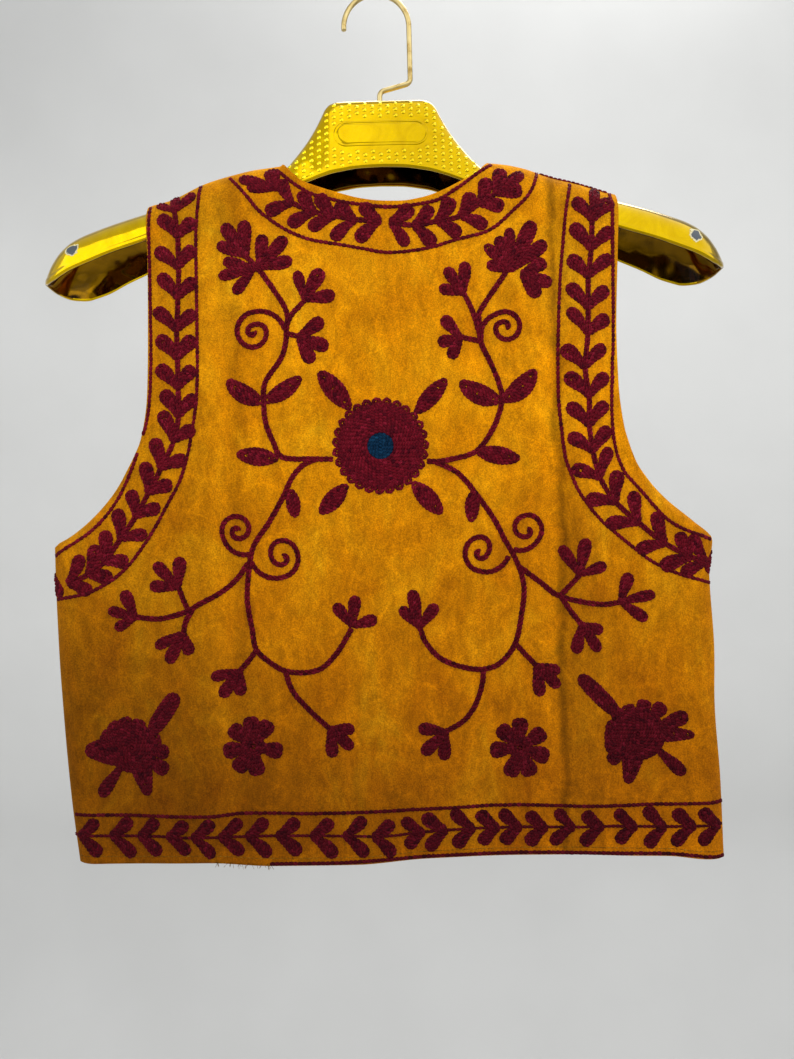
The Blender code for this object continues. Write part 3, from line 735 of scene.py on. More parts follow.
@dataclass
class Panel:
    """One cut piece of velvet, hung on the hanger.

    side is -1 for the back and 1 for a front. The two edges give x at a level; a level
    is a height on the left side, and the right side hangs a little lower.
    """

    name: str
    side: int
    x_low: float
    x_high: float
    edge_low: Callable[[Array], Array]
    edge_high: Callable[[Array], Array]
    sewn_low: bool
    sewn_high: bool
    folds: Array
    creases: tuple[Crease, ...]
    turn_width: float
    columns: int
    rows: int = 150
    wrap_rows: int = 16
    wall: float = 1.6
    cloth_wall: float = 1.8        # of the frame's solid, which sets how far out it lies
    clearance: float = 1.4
    seam_gap: float = 0.04
    hem_y: float = 0.0
    lowest: float = -575.0
    armpit: float = -358.5
    right_drop: float = -6.0
    drop_start: float = -112.0
    seam_forward: float = 3.0      # how far towards the fronts the side seams come
    seam_top: float = -350.0       # height by which they have come that far
    turn_span: Place = (-296.0, -352.0)      # heights over which the sides turn in
    fold_ends: Place = (60.0, 40.0)          # over which a fold begins and dies away
    stitch_line: float = 4.6       # distance of the hem's machine row from the edge

    def drop(self, u: Array, z: Array) -> Array:
        """How much lower column u hangs at a height than the left edge does."""
        share = np.clip((u / SHOULDER_HALF + 1.0) / 2, 0.0, 1.0)
        down = (self.drop_start - z) / (self.drop_start - self.armpit)
        return self.right_drop * share * np.clip(down, 0.0, 1.0)

    def column_at(self, x: Array, z: Array) -> Array:
        """Column (place on the shoulder line) of places on the panel, by repeated guesses."""
        u = np.clip(x, self.x_low, self.x_high)
        for _ in range(4):
            level = z - self.drop(u, z)
            low, high = self.edge_low(level), self.edge_high(level)
            share = (x - low) / (high - low)
            u = np.clip(self.x_low + share * (self.x_high - self.x_low), self.x_low, self.x_high)
        return u

    def crest(self, u: Array) -> Array:
        """Height of the cloth over the hanger's arm at a column."""
        over = HANGER.value("crest", u) + self.cloth_wall + self.clearance
        return np.maximum(table_curve(SHOULDER_LINE, u), over)

    def top(self, u: Array) -> Array:
        """Height of the panel's top edge: shoulder seams and, on the back, the neck scoop."""
        crest = self.crest(u)
        if self.side > 0:
            return crest
        inside = (u > NECK_LEFT) & (u < NECK_RIGHT)
        return np.where(inside, table_curve(NECK_SCOOP, u), crest)

    def hem(self, u: Array) -> Array:
        """Height of the hem at a column."""
        return table_curve(HEM_LINE, u * CHEST_HALF / SHOULDER_HALF)

    def rim(self, u: Array) -> Array:
        """Height of the hanger's rim that the panel leaves the arm at."""
        rim = HANGER.value("rim", u)
        return rim - HANGER.value("drop", u) if self.side > 0 else rim

    def seam_depth(self, z: Array) -> Array:
        """Plan place of the side seams: a little towards the fronts at the armpits."""
        return self.seam_forward * ease(self.lowest, self.seam_top, z) + self.side * self.seam_gap / 2

    def fold_height(self, x: Array, z: Array) -> Array:
        """Sum of the large folds that the frame's solid has too."""
        total = np.zeros(np.broadcast(x, z).shape)
        for x_top, x_low, width, height, z_top, z_low in self.folds:
            down = np.clip((z_top - z) / (z_top - z_low), 0.0, 1.0)
            line = x_top + (x_low - x_top) * down
            begins, dies = self.fold_ends
            along = ease(z_top, z_top - begins, z) * ease(z_low, z_low + dies, z)
            total += height * along * np.exp(-((x - line) / width) ** 2)
        return total

    def edge_distance(self, x: Array, z: Array, u: Array) -> tuple[Array, Array]:
        """Distances to the sewn side edge, and to the nearest free edge."""
        level = z - self.drop(u, z)
        from_low, from_high = x - self.edge_low(level), self.edge_high(level) - x
        far = np.full(x.shape, FAR)
        sewn = np.minimum(from_low if self.sewn_low else far, from_high if self.sewn_high else far)
        below = level < self.armpit
        free = z - self.hem(u)
        for distance, is_sewn in ((from_low, self.sewn_low), (from_high, self.sewn_high)):
            free = np.minimum(free, np.where(below, FAR, distance) if is_sewn else distance)
        if self.side < 0:
            inside = (u > NECK_LEFT) & (u < NECK_RIGHT)
            free = np.minimum(free, np.where(inside, self.top(u) - z, FAR))
        return sewn, free

    def holds(self, places: Array, margin: float = 0.8) -> Array:
        """Whether (x, z) places lie inside both side edges by a margin."""
        x, z = places[:, 0], places[:, 1]
        level = z - self.drop(self.column_at(x, z), z)
        return (x > self.edge_low(level) + margin) & (x < self.edge_high(level) - margin)

    def relief(self, x: Array, z: Array, u: Array) -> Array:
        """Outward height of what only the looks have: creases, puckers and turned edges."""
        total = np.zeros(x.shape)
        for crease in self.creases:
            total += crease.relief(x, z)
        # a faint unevenness of hung cloth, waves of 34 to 90 mm
        total += 0.34 * np.sin(x / 11.0 + 1.3 * np.sin(z / 27.0)) * np.sin(z / 17.0 + x / 43.0)
        total += 0.22 * np.sin(x / 5.4 + z / 13.0) * np.sin(z / 8.6 - x / 19.0)
        quiet = ease(-150.0, -215.0, z)
        sewn, free = self.edge_distance(x, z, u)
        total *= quiet * ease(0.0, 16.0, sewn) * (0.25 + 0.75 * ease(0.0, 14.0, free))
        # the turned edge stands out as far as the machine row, and its stitches pull a groove
        turned = 0.55 * ease(6.2, 4.4, free) * ease(-0.5, 0.7, free)
        groove = 0.30 * np.exp(-((free - self.stitch_line) / 0.7) ** 2)
        return total + (turned - groove) * ease(0.0, 4.0, sewn)

    def depth(self, x: Array, z: Array, u: Array) -> Array:
        """Depth of the outer face at places of known column.

        Over the arm the cloth follows the hanger's section, below it hangs to the hem's
        depth along a smooth step, and near a side seam it turns in on an ellipse.
        """
        reach = HANGER.value("half", u) + self.cloth_wall + self.clearance
        rim, top = self.rim(u), self.crest(u)
        over = np.clip((z - rim) / (top - rim), 0.0, 1.0)
        power = HANGER.power(u)
        bulge = (1.0 - over ** (2 / power)) ** (power / 2)
        half_gap = self.seam_gap / 2
        wrapped = HANGER.value("mid", u) + self.side * (half_gap + (reach - half_gap) * bulge)
        hung = wrapped + (self.hem_y - wrapped) * ease(rim, self.lowest, z)
        fold_x = np.abs(x) if self.side > 0 else x
        hung = hung + self.side * self.fold_height(fold_x, z)
        hung = hung + self.side * self.relief(x, z, u)
        sewn, _ = self.edge_distance(x, z, u)
        seam = self.seam_depth(z)
        inward = 1.0 - np.clip(sewn / self.turn_width, 0.0, 1.0)
        turned = seam + (hung - seam) * np.sqrt(1.0 - inward ** 2)
        return hung + (turned - hung) * ease(*self.turn_span, z)

    def surface(self, places: Array) -> Array:
        """Points on the outer face at (x, z) places."""
        x, z = places[..., 0], places[..., 1]
        u = self.column_at(x, z)
        z = np.minimum(z, self.crest(u) - 1e-4)
        return np.stack([x, self.depth(x, z, u), z], axis=-1)

    def normal(self, places: Array, reach: float = 0.6) -> Array:
        """Outward unit normals at places, from points a little to each side."""
        dx, dz = np.array([reach, 0.0]), np.array([0.0, reach])
        across = self.surface(places + dx) - self.surface(places - dx)
        up = self.surface(places + dz) - self.surface(places - dz)
        return unit(np.cross(across, up) * -self.side)

    def grid(self) -> tuple[Array, Array, Array, Array]:
        """Columns and the x, y and z of the outer face's grid, top row first."""
        # columns crowd a little towards both sides, rows towards both ends of the fall
        share = np.linspace(0.0, 1.0, self.columns)
        turn = 0.5 - 0.5 * np.cos(share * math.pi)
        share = 0.72 * share + 0.28 * turn
        u = self.x_low + share * (self.x_high - self.x_low)
        top, hem = self.top(u), self.hem(u)
        end = np.minimum(self.rim(u), top - 10.0)
        wrap = 1.0 - np.cos(np.linspace(0.0, math.pi / 2, self.wrap_rows, endpoint=False))
        down = np.linspace(0.0, 1.0, self.rows - self.wrap_rows)
        down = 0.9 * down + 0.1 * ease(0.0, 1.0, down)
        z = np.concatenate([top + (end - top) * wrap[:, None], end + (hem - end) * down[:, None]])
        level = z - self.drop(u, z)
        low, high = self.edge_low(level), self.edge_high(level)
        x = low + (high - low) * share
        return u, x, self.depth(x, z, np.broadcast_to(u, x.shape)), z

    def build(self) -> bpy.types.Object:
        """The shell: the outer grid, an inner grid a wall inside, and rounded edges."""
        u, x, y, z = self.grid()
        outer = np.stack([x, y, z], axis=2)
        rows, columns = x.shape
        normal = unit(np.cross(np.gradient(outer, axis=1), np.gradient(outer, axis=0)) * self.side)
        normal = -normal if normal[rows // 2, columns // 2, 1] * self.side < 0 else normal
        on_shoulder = np.abs(self.top(u) - self.crest(u)) < 1e-6
        normal[0, on_shoulder, 1] = 0.0
        below = z - self.drop(u, z) < self.armpit
        for column, sewn in ((0, self.sewn_low), (-1, self.sewn_high)):
            if sewn:
                normal[below[:, column], column, 1:] = 0.0
        inner = outer - unit(normal) * self.wall
        ring = ring_of(rows, columns)
        mid = (outer + inner).reshape(-1, 3)[ring] / 2
        inward = np.clip(np.array([(i // columns, i % columns) for i in ring]),
                         1, [rows - 2, columns - 2]) @ [columns, 1]
        out = unit(outer.reshape(-1, 3)[ring] - outer.reshape(-1, 3)[inward])
        free = np.ones(len(ring))
        free[:columns][on_shoulder] = 0.0
        free[self.sewn_ring(below, ring, columns)] = 0.0
        mid = mid + out * (0.45 * self.wall * free)[:, None]
        count = rows * columns
        quads = grid_quads(rows, columns)
        after = np.roll(ring, -1)
        k = np.arange(len(ring))
        k_after = np.roll(k, -1)
        lip = [np.stack([ring, after, 2 * count + k_after, 2 * count + k], axis=1),
               np.stack([2 * count + k, 2 * count + k_after, count + after, count + ring], axis=1)]
        faces = np.concatenate([quads, quads[:, ::-1] + count, *lip])
        points = np.concatenate([outer.reshape(-1, 3), inner.reshape(-1, 3), mid])
        flat = points[:, [0, 2]]
        piece = facing_out(make_mesh(self.name + "_velvet", points, faces, uv=flat))
        LOG.info("%s: %d x %d grid, %d faces", piece.name, rows, columns, len(piece.data.polygons))
        return piece

    def sewn_ring(self, below: Array, ring: Array, columns: int) -> Array:
        """Which points of the edge ring lie on a sewn side."""
        column = ring % columns
        row_below = below.reshape(-1)[ring]
        low = (column == 0) & self.sewn_low & row_below
        high = (column == columns - 1) & self.sewn_high & row_below
        return low | high


def ring_of(rows: int, columns: int) -> Array:
    """Point numbers round a grid's edge, along the top row first."""
    top = np.arange(columns)
    right = np.arange(1, rows) * columns + columns - 1
    foot = (rows - 1) * columns + np.arange(columns - 2, -1, -1)
    left = np.arange(rows - 2, 0, -1) * columns
    return np.concatenate([top, right, foot, left])


# ---------------------------------------------------------------- stitches

class Stitch(Enum):
    """Which stitch a row is worked in, with its length, width and height."""

    FILL = (2.7, 2.75, 0.9)       # chain stitch, packed in rows inside a motif
    LINE = (3.0, 2.8, 1.0)       # chain stitch on its own, along an outline
    STEM = (2.9, 2.3, 1.0)       # chain stitch, two rows side by side
    MACHINE = (2.6, 0.55, 0.32)    # lockstitch of the hem
    FIBRE = (1.3, 0.24, 0.2)       # a loose fibre of the cloth


@dataclass(frozen=True)
class Link:
    """One link of chain stitch: two plump strands with a groove between them.

    It is low and narrow at both ends, where the next link comes up through it.
    """

    along: Array                 # places of its rings, as shares of its length
    width: Array                 # of each ring
    height: Array                # of each ring
    across: Array                # places of each ring's points, as shares of half its width
    crown: Array                 # their heights


ACROSS = np.array([-1.0, -0.56, 0.0, 0.56, 1.0])
CROWN = np.array([-0.35, 1.0, 0.52, 1.0, -0.35])
LINK = Link(np.array([-0.08, 0.26, 0.74, 1.08]), np.array([0.62, 1.0, 1.0, 0.58]),
            np.array([0.30, 0.96, 1.0, 0.34]), ACROSS, CROWN)
#: the same with one ring fewer, for the side that is seen less
PLAIN_LINK = Link(np.array([-0.12, 0.5, 1.12]), np.array([0.55, 1.06, 0.55]),
                  np.array([0.25, 1.05, 0.25]), ACROSS, CROWN)


@dataclass
class StitchWork:
    """Rows of stitches worked on one panel, gathered into joined meshes."""

    panel: Panel
    seed: int
    link: Link = LINK
    starts: list[Array] = field(default_factory=list)
    ends: list[Array] = field(default_factory=list)
    kinds: list[Array] = field(default_factory=list)
    lifts: list[Array] = field(default_factory=list)

    def row(self, path: Array, stitch: Stitch = Stitch.FILL, lift: float = 0.0,
            closed: bool = False, skip: float = 0.0) -> None:
        """Work stitches along a flat path.

        Args:
            path: places along the row.
            stitch: which stitch.
            lift: how far its foot stands off the cloth.
            closed: whether the row returns to its start.
            skip: share of a stitch's length left bare after it.
        """
        path = np.vstack([path, path[:1]]) if closed else path
        length = float(np.linalg.norm(np.diff(path, axis=0), axis=1).sum())
        size = stitch.value
        if length < 0.6 * size[0]:
            return
        knots = even(path, size[0])
        starts, ends = knots[:-1], knots[1:]
        self.starts.append(starts)
        self.ends.append(ends - (ends - starts) * skip)
        self.kinds.append(np.tile(size[1:], (len(starts), 1)))
        self.lifts.append(np.full(len(starts), lift))

    def build(self, name: str) -> bpy.types.Object:
        """Join every stitch into one mesh.

        Each link is a grid of rings carried on the line from its start to its end,
        closed underneath and at both ends.
        """
        link = self.link
        rng = np.random.default_rng(self.seed)
        starts, ends = np.concatenate(self.starts), np.concatenate(self.ends)
        kinds, lifts = np.concatenate(self.kinds), np.concatenate(self.lifts)
        kept = self.panel.holds(starts) & self.panel.holds(ends)
        starts, ends, kinds, lifts = starts[kept], ends[kept], kinds[kept], lifts[kept]
        count = len(starts)
        jitter = rng.normal(0.0, 0.07, (count, 2, 2))
        first = self.panel.surface(starts + jitter[:, 0])
        last = self.panel.surface(ends + jitter[:, 1])
        normal = self.panel.normal((starts + ends) / 2)
        along = last - first
        across = unit(np.cross(normal, along))
        width = kinds[:, 0] * rng.normal(1.0, 0.05, count) / 2
        height = kinds[:, 1] * rng.normal(1.0, 0.09, count)
        points = (first[:, None, None, :]
                  + along[:, None, None, :] * link.along[:, None, None]
                  + across[:, None, None, :] * (width[:, None, None] * link.width[:, None]
                                                * link.across)[..., None]
                  + normal[:, None, None, :] * (lifts[:, None, None] + height[:, None, None]
                                                * link.height[:, None] * link.crown)[..., None])
        rings, wide = len(link.along), len(link.across)
        skin = grid_quads(rings, wide)
        r = np.arange(rings - 1) * wide
        under = np.stack([r, r + wide - 1, r + 2 * wide - 1, r + wide], axis=1)
        last_ring = (rings - 1) * wide
        caps = np.array([(0, 1, 3, 4), tuple(last_ring + k for k in (4, 3, 1, 0))])
        cap_tips = np.array([(1, 2, 3), tuple(last_ring + k for k in (3, 2, 1))])
        quads = np.concatenate([skin, under, caps])
        base = (np.arange(count) * rings * wide)[:, None, None]
        uv = np.empty((count, rings, wide, 2))
        uv[..., 0] = link.across * width[:, None, None]
        uv[..., 1] = link.along[:, None] * np.linalg.norm(along, axis=1)[:, None, None]
        tone = np.clip(rng.normal(0.45, 0.2, count), 0.0, 1.0)
        piece = facing_out(make_mesh(
            name, points.reshape(-1, 3), (quads + base).reshape(-1, 4),
            (cap_tips + base).reshape(-1, 3), uv.reshape(-1, 2), np.repeat(tone, rings * wide)))
        LOG.info("%s: %d stitches, %d faces", name, count, len(piece.data.polygons))
        return piece


# ---------------------------------------------------------------- motifs

class LeafShape(Enum):
    """Half-width of a leaf along its length: rows of (share of length, share of width)."""

    CLUB = ((0.0, 0.36), (0.2, 0.52), (0.42, 0.76), (0.62, 0.96), (0.76, 1.0), (0.88, 0.88),
            (0.95, 0.62), (0.985, 0.36), (1.0, 0.0))
    LANCE = ((0.0, 0.22), (0.12, 0.52), (0.3, 0.88), (0.5, 1.0), (0.72, 0.84), (0.88, 0.52),
             (0.96, 0.28), (1.0, 0.0))
    OBLONG = ((0.0, 0.42), (0.12, 0.74), (0.3, 0.95), (0.55, 1.0), (0.8, 0.93), (0.93, 0.70),
              (0.98, 0.42), (1.0, 0.0))
    HORN = ((0.0, 1.0), (0.25, 0.98), (0.5, 0.82), (0.75, 0.58), (0.92, 0.40), (1.0, 0.0))


@dataclass(frozen=True)
class Leaf:
    """A leaf or petal filled with rows of chain stitch that follow its outline inwards."""

    base: Place
    tip: Place
    width: float = 8.0
    bend: float = 0.0            # how far the middle bows to the left of base-to-tip
    shape: LeafShape = LeafShape.CLUB
    pitch: float = 1.8           # between rows

    def work(self, bed: StitchWork) -> None:
        """Work the outline row first, then each row inside it."""
        base, tip = np.array(self.base), np.array(self.tip)
        t = np.linspace(0.0, 1.0, 60)
        way = tip - base
        length = float(np.linalg.norm(way))
        left = np.array([-way[1], way[0]]) / length
        axis = base + way * t[:, None] + left * (4 * self.bend * t * (1 - t))[:, None]
        side = path_normal(axis)
        half = table_curve(np.array(self.shape.value), t) * self.width / 2
        gap = half.copy()
        for row in range(8):
            inset = row * self.pitch + 0.6
            inside = np.maximum(half - inset, 0.0)
            kept = (half > inset + 0.15) & ((1 - t) * length > inset)
            if kept.sum() < 6:
                break
            gap[kept] = inside[kept]
            up = (axis + side * inside[:, None])[kept]
            down = (axis - side * inside[:, None])[kept][::-1]
            bed.row(np.vstack([up, down]), lift=0.12 * row, closed=True)
        # where the innermost two rows part, one more row fills the gap between them
        parted = (gap > 0.42 * self.pitch) & ((1 - t) * length > 0.8 * self.pitch)
        breaks = np.flatnonzero(np.diff(parted.astype(int))) + 1
        for run in np.split(np.arange(len(t)), breaks):
            if parted[run[0]] and len(run) > 5:
                bed.row(axis[run], lift=0.2)


@dataclass(frozen=True)
class Sprig:
    """Petals that spread from one point, as three-petalled buds and larger fans do."""

    base: Place
    petals: tuple[tuple[float, float, float], ...]      # x and z of each tip, and its width

    def work(self, bed: StitchWork) -> None:
        """Work each petal from the shared base."""
        for x, z, width in self.petals:
            Leaf(self.base, (x, z), width).work(bed)


@dataclass(frozen=True)
class Stem:
    """A stem of chain rows side by side along a smooth line."""

    points: tuple[Place, ...]
    rows: int = 2
    pitch: float = 1.65

    def work(self, bed: StitchWork) -> None:
        """Work each row beside the line."""
        path = smooth_path(self.points)
        side = path_normal(path)
        for row in range(self.rows):
            offset = (row - (self.rows - 1) / 2) * self.pitch
            bed.row(path + side * offset, Stitch.STEM, lift=0.04 * row)


@dataclass(frozen=True)
class Curl:
    """A tendril that coils in: its radius shrinks from quarter turn to quarter turn."""

    centre: Place
    start_angle: float           # degrees, anticlockwise from +x
    radii: tuple[float, ...]     # at each quarter turn
    hand: int = 1                # 1 coils anticlockwise

    def work(self, bed: StitchWork) -> None:
        """Work two rows along the coil."""
        quarter = np.arange(len(self.radii), dtype=float)
        at = np.linspace(0.0, len(self.radii) - 1.0, 40 * len(self.radii))
        radius = table_curve(np.stack([quarter, self.radii], axis=1), at)
        angle = math.radians(self.start_angle) + self.hand * at * math.pi / 2
        path = np.array(self.centre) + np.stack(
            [radius * np.cos(angle), radius * np.sin(angle)], axis=1)
        path = even(path, 0.5)
        side = path_normal(path)
        bed.row(path + side * 0.75, Stitch.STEM)
        bed.row(path - side * 0.75, Stitch.STEM, lift=0.05)


@dataclass(frozen=True)
class Disc:
    """Concentric rings of chain stitch, round a hole if there is one."""

    centre: Place
    radius: float
    hole: float = 0.0
    pitch: float = 1.8           # between rings, before it is fitted to a whole number

    def work(self, bed: StitchWork) -> None:
        """Work the rings from the outside in, each a little higher than the last."""
        rings = max(1, int(round((self.radius - self.hole) / self.pitch)))
        pitch = (self.radius - self.hole) / rings
        angle = np.linspace(0.0, 2 * math.pi, 360, endpoint=False)
        circle = np.stack([np.cos(angle), np.sin(angle)], axis=1)
        for ring in range(rings):
            radius = self.radius - (ring + 0.5) * pitch
            bed.row(np.array(self.centre) + radius * circle, lift=0.12 + 0.02 * ring, closed=True)


@dataclass(frozen=True)
class Garland:
    """A stem with a pair of leaves at each apex, opening forwards along the stem."""

    apexes: tuple[Place, ...]
    opens: int = 1               # 1 opens towards the last apex, -1 towards the first
    lead: tuple[Place, ...] = ()     # the stem goes on to these places
    rows: int = 2
    lengths: Place = (17.5, 17.5)    # of the right-hand and the left-hand leaf
    width: float = 8.0
    spread: float = 40.0         # degrees between a leaf and the stem
    seed: int = 1

    def work(self, bed: StitchWork) -> None:
        """Work the stem, then the leaves, each a little different from the last."""
        rng = np.random.default_rng(self.seed)
        line = tuple(self.apexes) + tuple(self.lead)
        if self.rows:
            Stem(line, self.rows).work(bed)
        path = smooth_path(line)
        tangent = unit(np.gradient(path, axis=0)) * self.opens
        for apex in self.apexes:
            nearest = int(np.argmin(np.linalg.norm(path - apex, axis=1)))
            ahead = tangent[nearest]
            for side, length in zip((-1, 1), self.lengths):
                angle = math.radians(side * (self.spread + rng.normal(0.0, 2.5)))
                turned = np.array([ahead[0] * math.cos(angle) - ahead[1] * math.sin(angle),
                                   ahead[0] * math.sin(angle) + ahead[1] * math.cos(angle)])
                reach = length * (1.0 + rng.normal(0.0, 0.05))
                base = np.array(apex) + turned * 0.8
                width = self.width * (1.0 + rng.normal(0.0, 0.05))
                Leaf(tuple(base), tuple(base + turned * reach), width, -side * 1.3).work(bed)


@dataclass(frozen=True)
class Outline:
    """One row of larger chain stitch along a smooth line."""

    points: tuple[Place, ...]

    def work(self, bed: StitchWork) -> None:
        """Work the row."""
        bed.row(smooth_path(self.points), Stitch.LINE)


@dataclass(frozen=True)
class Rosette:
    """The middle flower: filled rings edged with small scallops, open at the eye."""

    centre: Place
    radius: float
    eye: float                   # radius of the opening
    scallops: int
    depth: float = 3.8           # how far inside the radius the rings end
    root: float = 10.0           # how far inside it a scallop starts
    overhang: float = 0.8        # how far beyond it a scallop ends
    width: float = 6.0           # of a scallop

    def work(self, bed: StitchWork) -> None:
        """Work the rings, then each scallop over their edge."""
        Disc(self.centre, self.radius - self.depth, self.eye).work(bed)
        reaches = (self.radius - self.root, self.radius + self.overhang)
        for number in range(self.scallops):
            way = direction(number * 360.0 / self.scallops)
            base, tip = (tuple(np.array(self.centre) + way * reach) for reach in reaches)
            Leaf(base, tip, self.width, shape=LeafShape.OBLONG).work(bed)


@dataclass(frozen=True)
class RoundFlower:
    """A small flower: a round heart with petals set round it one by one."""

    centre: Place
    angles: tuple[float, ...]    # of the petals, degrees anticlockwise from +x
    heart: float = 7.6           # its radius
    reaches: Place = (3.6, 19.2)     # distances of a petal's base and tip from the centre
    width: float = 10.2          # of a petal

    def work(self, bed: StitchWork) -> None:
        """Work the heart, then the petals."""
        Disc(self.centre, self.heart).work(bed)
        for angle in self.angles:
            base, tip = (tuple(self.centre + direction(angle) * reach) for reach in self.reaches)
            Leaf(base, tip, self.width).work(bed)


@dataclass(frozen=True)
class CornerFlower:
    """The large flower of a lower corner. A leaf is given by its base, tip and width."""

    body: Place
    radius: float
    tips: tuple[Place, ...]      # of the round petals
    horns: tuple[tuple[Place, Place, float], ...]
    leaf: tuple[Place, Place, float]
    stalk_leaf: tuple[Place, Place, float]
    overlap: float = 5.0         # how far inside the body a petal starts
    width: float = 9.2           # of a petal

    def work(self, bed: StitchWork) -> None:
        """Work the body, its petals, its pointed horns and its two leaves."""
        Disc(self.body, self.radius).work(bed)
        middle = np.array(self.body)
        for tip in self.tips:
            way = unit(np.array(tip) - middle)
            base = tuple(middle + way * (self.radius - self.overlap))
            Leaf(base, tip, self.width).work(bed)
        for horn in self.horns:
            Leaf(*horn, shape=LeafShape.HORN).work(bed)
        Leaf(*self.leaf, shape=LeafShape.OBLONG).work(bed)
        Leaf(*self.stalk_leaf).work(bed)


# ---------------------------------------------------------------- the panels

BACK_FOLDS = np.array([
    # x_top, x_low, width, height, z_top, z_low
    (126.0, 108.0, 17.0,  3.6, -190.0, -556.0),
    (166.0, 152.0, 24.0, -2.6, -330.0, -580.0),
    (-108.0, -96.0, 13.0,  1.8, -205.0, -395.0),
    (-60.0, -78.0, 26.0, -1.8, -420.0, -585.0),
    (-150.0, -140.0, 24.0,  1.8, -400.0, -590.0),
    (20.0,  34.0, 30.0,  1.6, -430.0, -590.0),
])
FRONT_FOLDS = np.array([
    # from the middle, as above
    (92.0, 78.0, 20.0,  3.0, -190.0, -570.0),
    (128.0, 132.0, 24.0, -2.4, -330.0, -590.0),
    (34.0, 40.0, 22.0, -1.8, -400.0, -590.0),
])
BACK_CREASES = (
    # the pressed edge where the waistcoat was folded in storage
    Crease((109.0, -225.0), (106.0, -552.0), -2.6, 20.0, 9.0, 1.15),
    # its fainter partner on the left side, and the soft bulge beside it
    Crease((-103.0, -208.0), (-99.0, -352.0), 1.1, 5.0, 9.0, 1.3),
    Crease((-91.0, -212.0), (-90.0, -300.0), -0.9, 6.0, 8.0),
    # swellings where the cloth leaves the hanger's arm
    Crease((107.0, -186.0), (97.0, -288.0), 1.5, 9.0, 7.0),
    Crease((86.0, -196.0), (84.0, -262.0), -0.8, 9.0, 7.0),
    # wrinkles that cross above the hem, and short ones at the armpits
    Crease((16.0, -521.0), (112.0, -508.0), 1.3, 5.0, 8.0),
    Crease((-150.0, -476.0), (-118.0, -508.0), 0.8, 6.0, 9.0),
    Crease((-176.0, -402.0), (-205.0, -440.0), -1.1, 8.0, 10.0),
    Crease((-196.0, -398.0), (-168.0, -438.0), 0.9, 7.0, 9.0),
    Crease((166.0, -396.0), (196.0, -432.0), 1.0, 8.0, 9.0),
    Crease((178.0, -424.0), (170.0, -520.0), 1.2, 10.0, 12.0),
    Crease((150.0, -300.0), (128.0, -352.0), -0.9, 8.0, 9.0),
    Crease((-20.0, -180.0), (-26.0, -262.0), 0.6, 9.0, 12.0),
    Crease((24.0, -186.0), (27.0, -250.0), -0.6, 9.0, 12.0),
)
LEFT_CREASES = (
    Crease((-92.0, -224.0), (-82.0, -528.0), 1.7, 22.0, 9.0, 1.3),
    Crease((-132.0, -250.0), (-112.0, -330.0), -0.9, 8.0, 10.0),
    Crease((-46.0, -330.0), (-40.0, -520.0), -0.8, 12.0, 14.0),
    Crease((-186.0, -398.0), (-150.0, -430.0), 0.9, 8.0, 9.0),
    Crease((-126.0, -500.0), (-62.0, -514.0), 0.9, 6.0, 8.0),
)
RIGHT_CREASES = (
    Crease((96.0, -218.0), (84.0, -540.0), 1.4, 9.0, 20.0, 1.3),
    Crease((128.0, -262.0), (116.0, -322.0), 0.8, 9.0, 8.0),
    Crease((38.0, -342.0), (44.0, -498.0), 0.9, 10.0, 12.0),
    Crease((182.0, -404.0), (158.0, -452.0), -0.8, 8.0, 10.0),
    Crease((70.0, -512.0), (140.0, -496.0), 0.8, 6.0, 7.0),
)


def left_edge(level: Array) -> Array:
    """x of the left armhole and side seam at a level."""
    return table_curve(LEFT_EDGE, level)


def right_edge(level: Array) -> Array:
    """x of the right armhole and side seam at a level."""
    return table_curve(RIGHT_EDGE, level)


def centre_edge(sign: int) -> Callable[[Array], Array]:
    """A front's inner edge: down the V of the neck to the middle, then straight."""
    neck = abs(NECK_LEFT) if sign < 0 else NECK_RIGHT

    def edge(level: Array) -> Array:
        """x of this front's inner edge at a level."""
        to_point = (neck - FRONT_EDGE[0, 1]) * ease(-200.0, -110.0, level)
        return sign * (table_curve(FRONT_EDGE, level) + to_point)

    return edge


BACK = Panel("back", -1, -152.5, 152.0, left_edge, right_edge, True, True, BACK_FOLDS,
             BACK_CREASES, turn_width=14.0, columns=190, rows=165, hem_y=-10.0)
FRONT_LEFT = Panel("front_left", 1, -152.5, NECK_LEFT, left_edge, centre_edge(-1), True, False,
                   FRONT_FOLDS, LEFT_CREASES, turn_width=44.0, columns=78, rows=120, hem_y=11.0)
FRONT_RIGHT = Panel("front_right", 1, NECK_RIGHT, 152.0, centre_edge(1), right_edge, False, True,
                    FRONT_FOLDS, RIGHT_CREASES, turn_width=44.0, columns=78, rows=120, hem_y=11.0)


# ---------------------------------------------------------------- the embroidery's plan

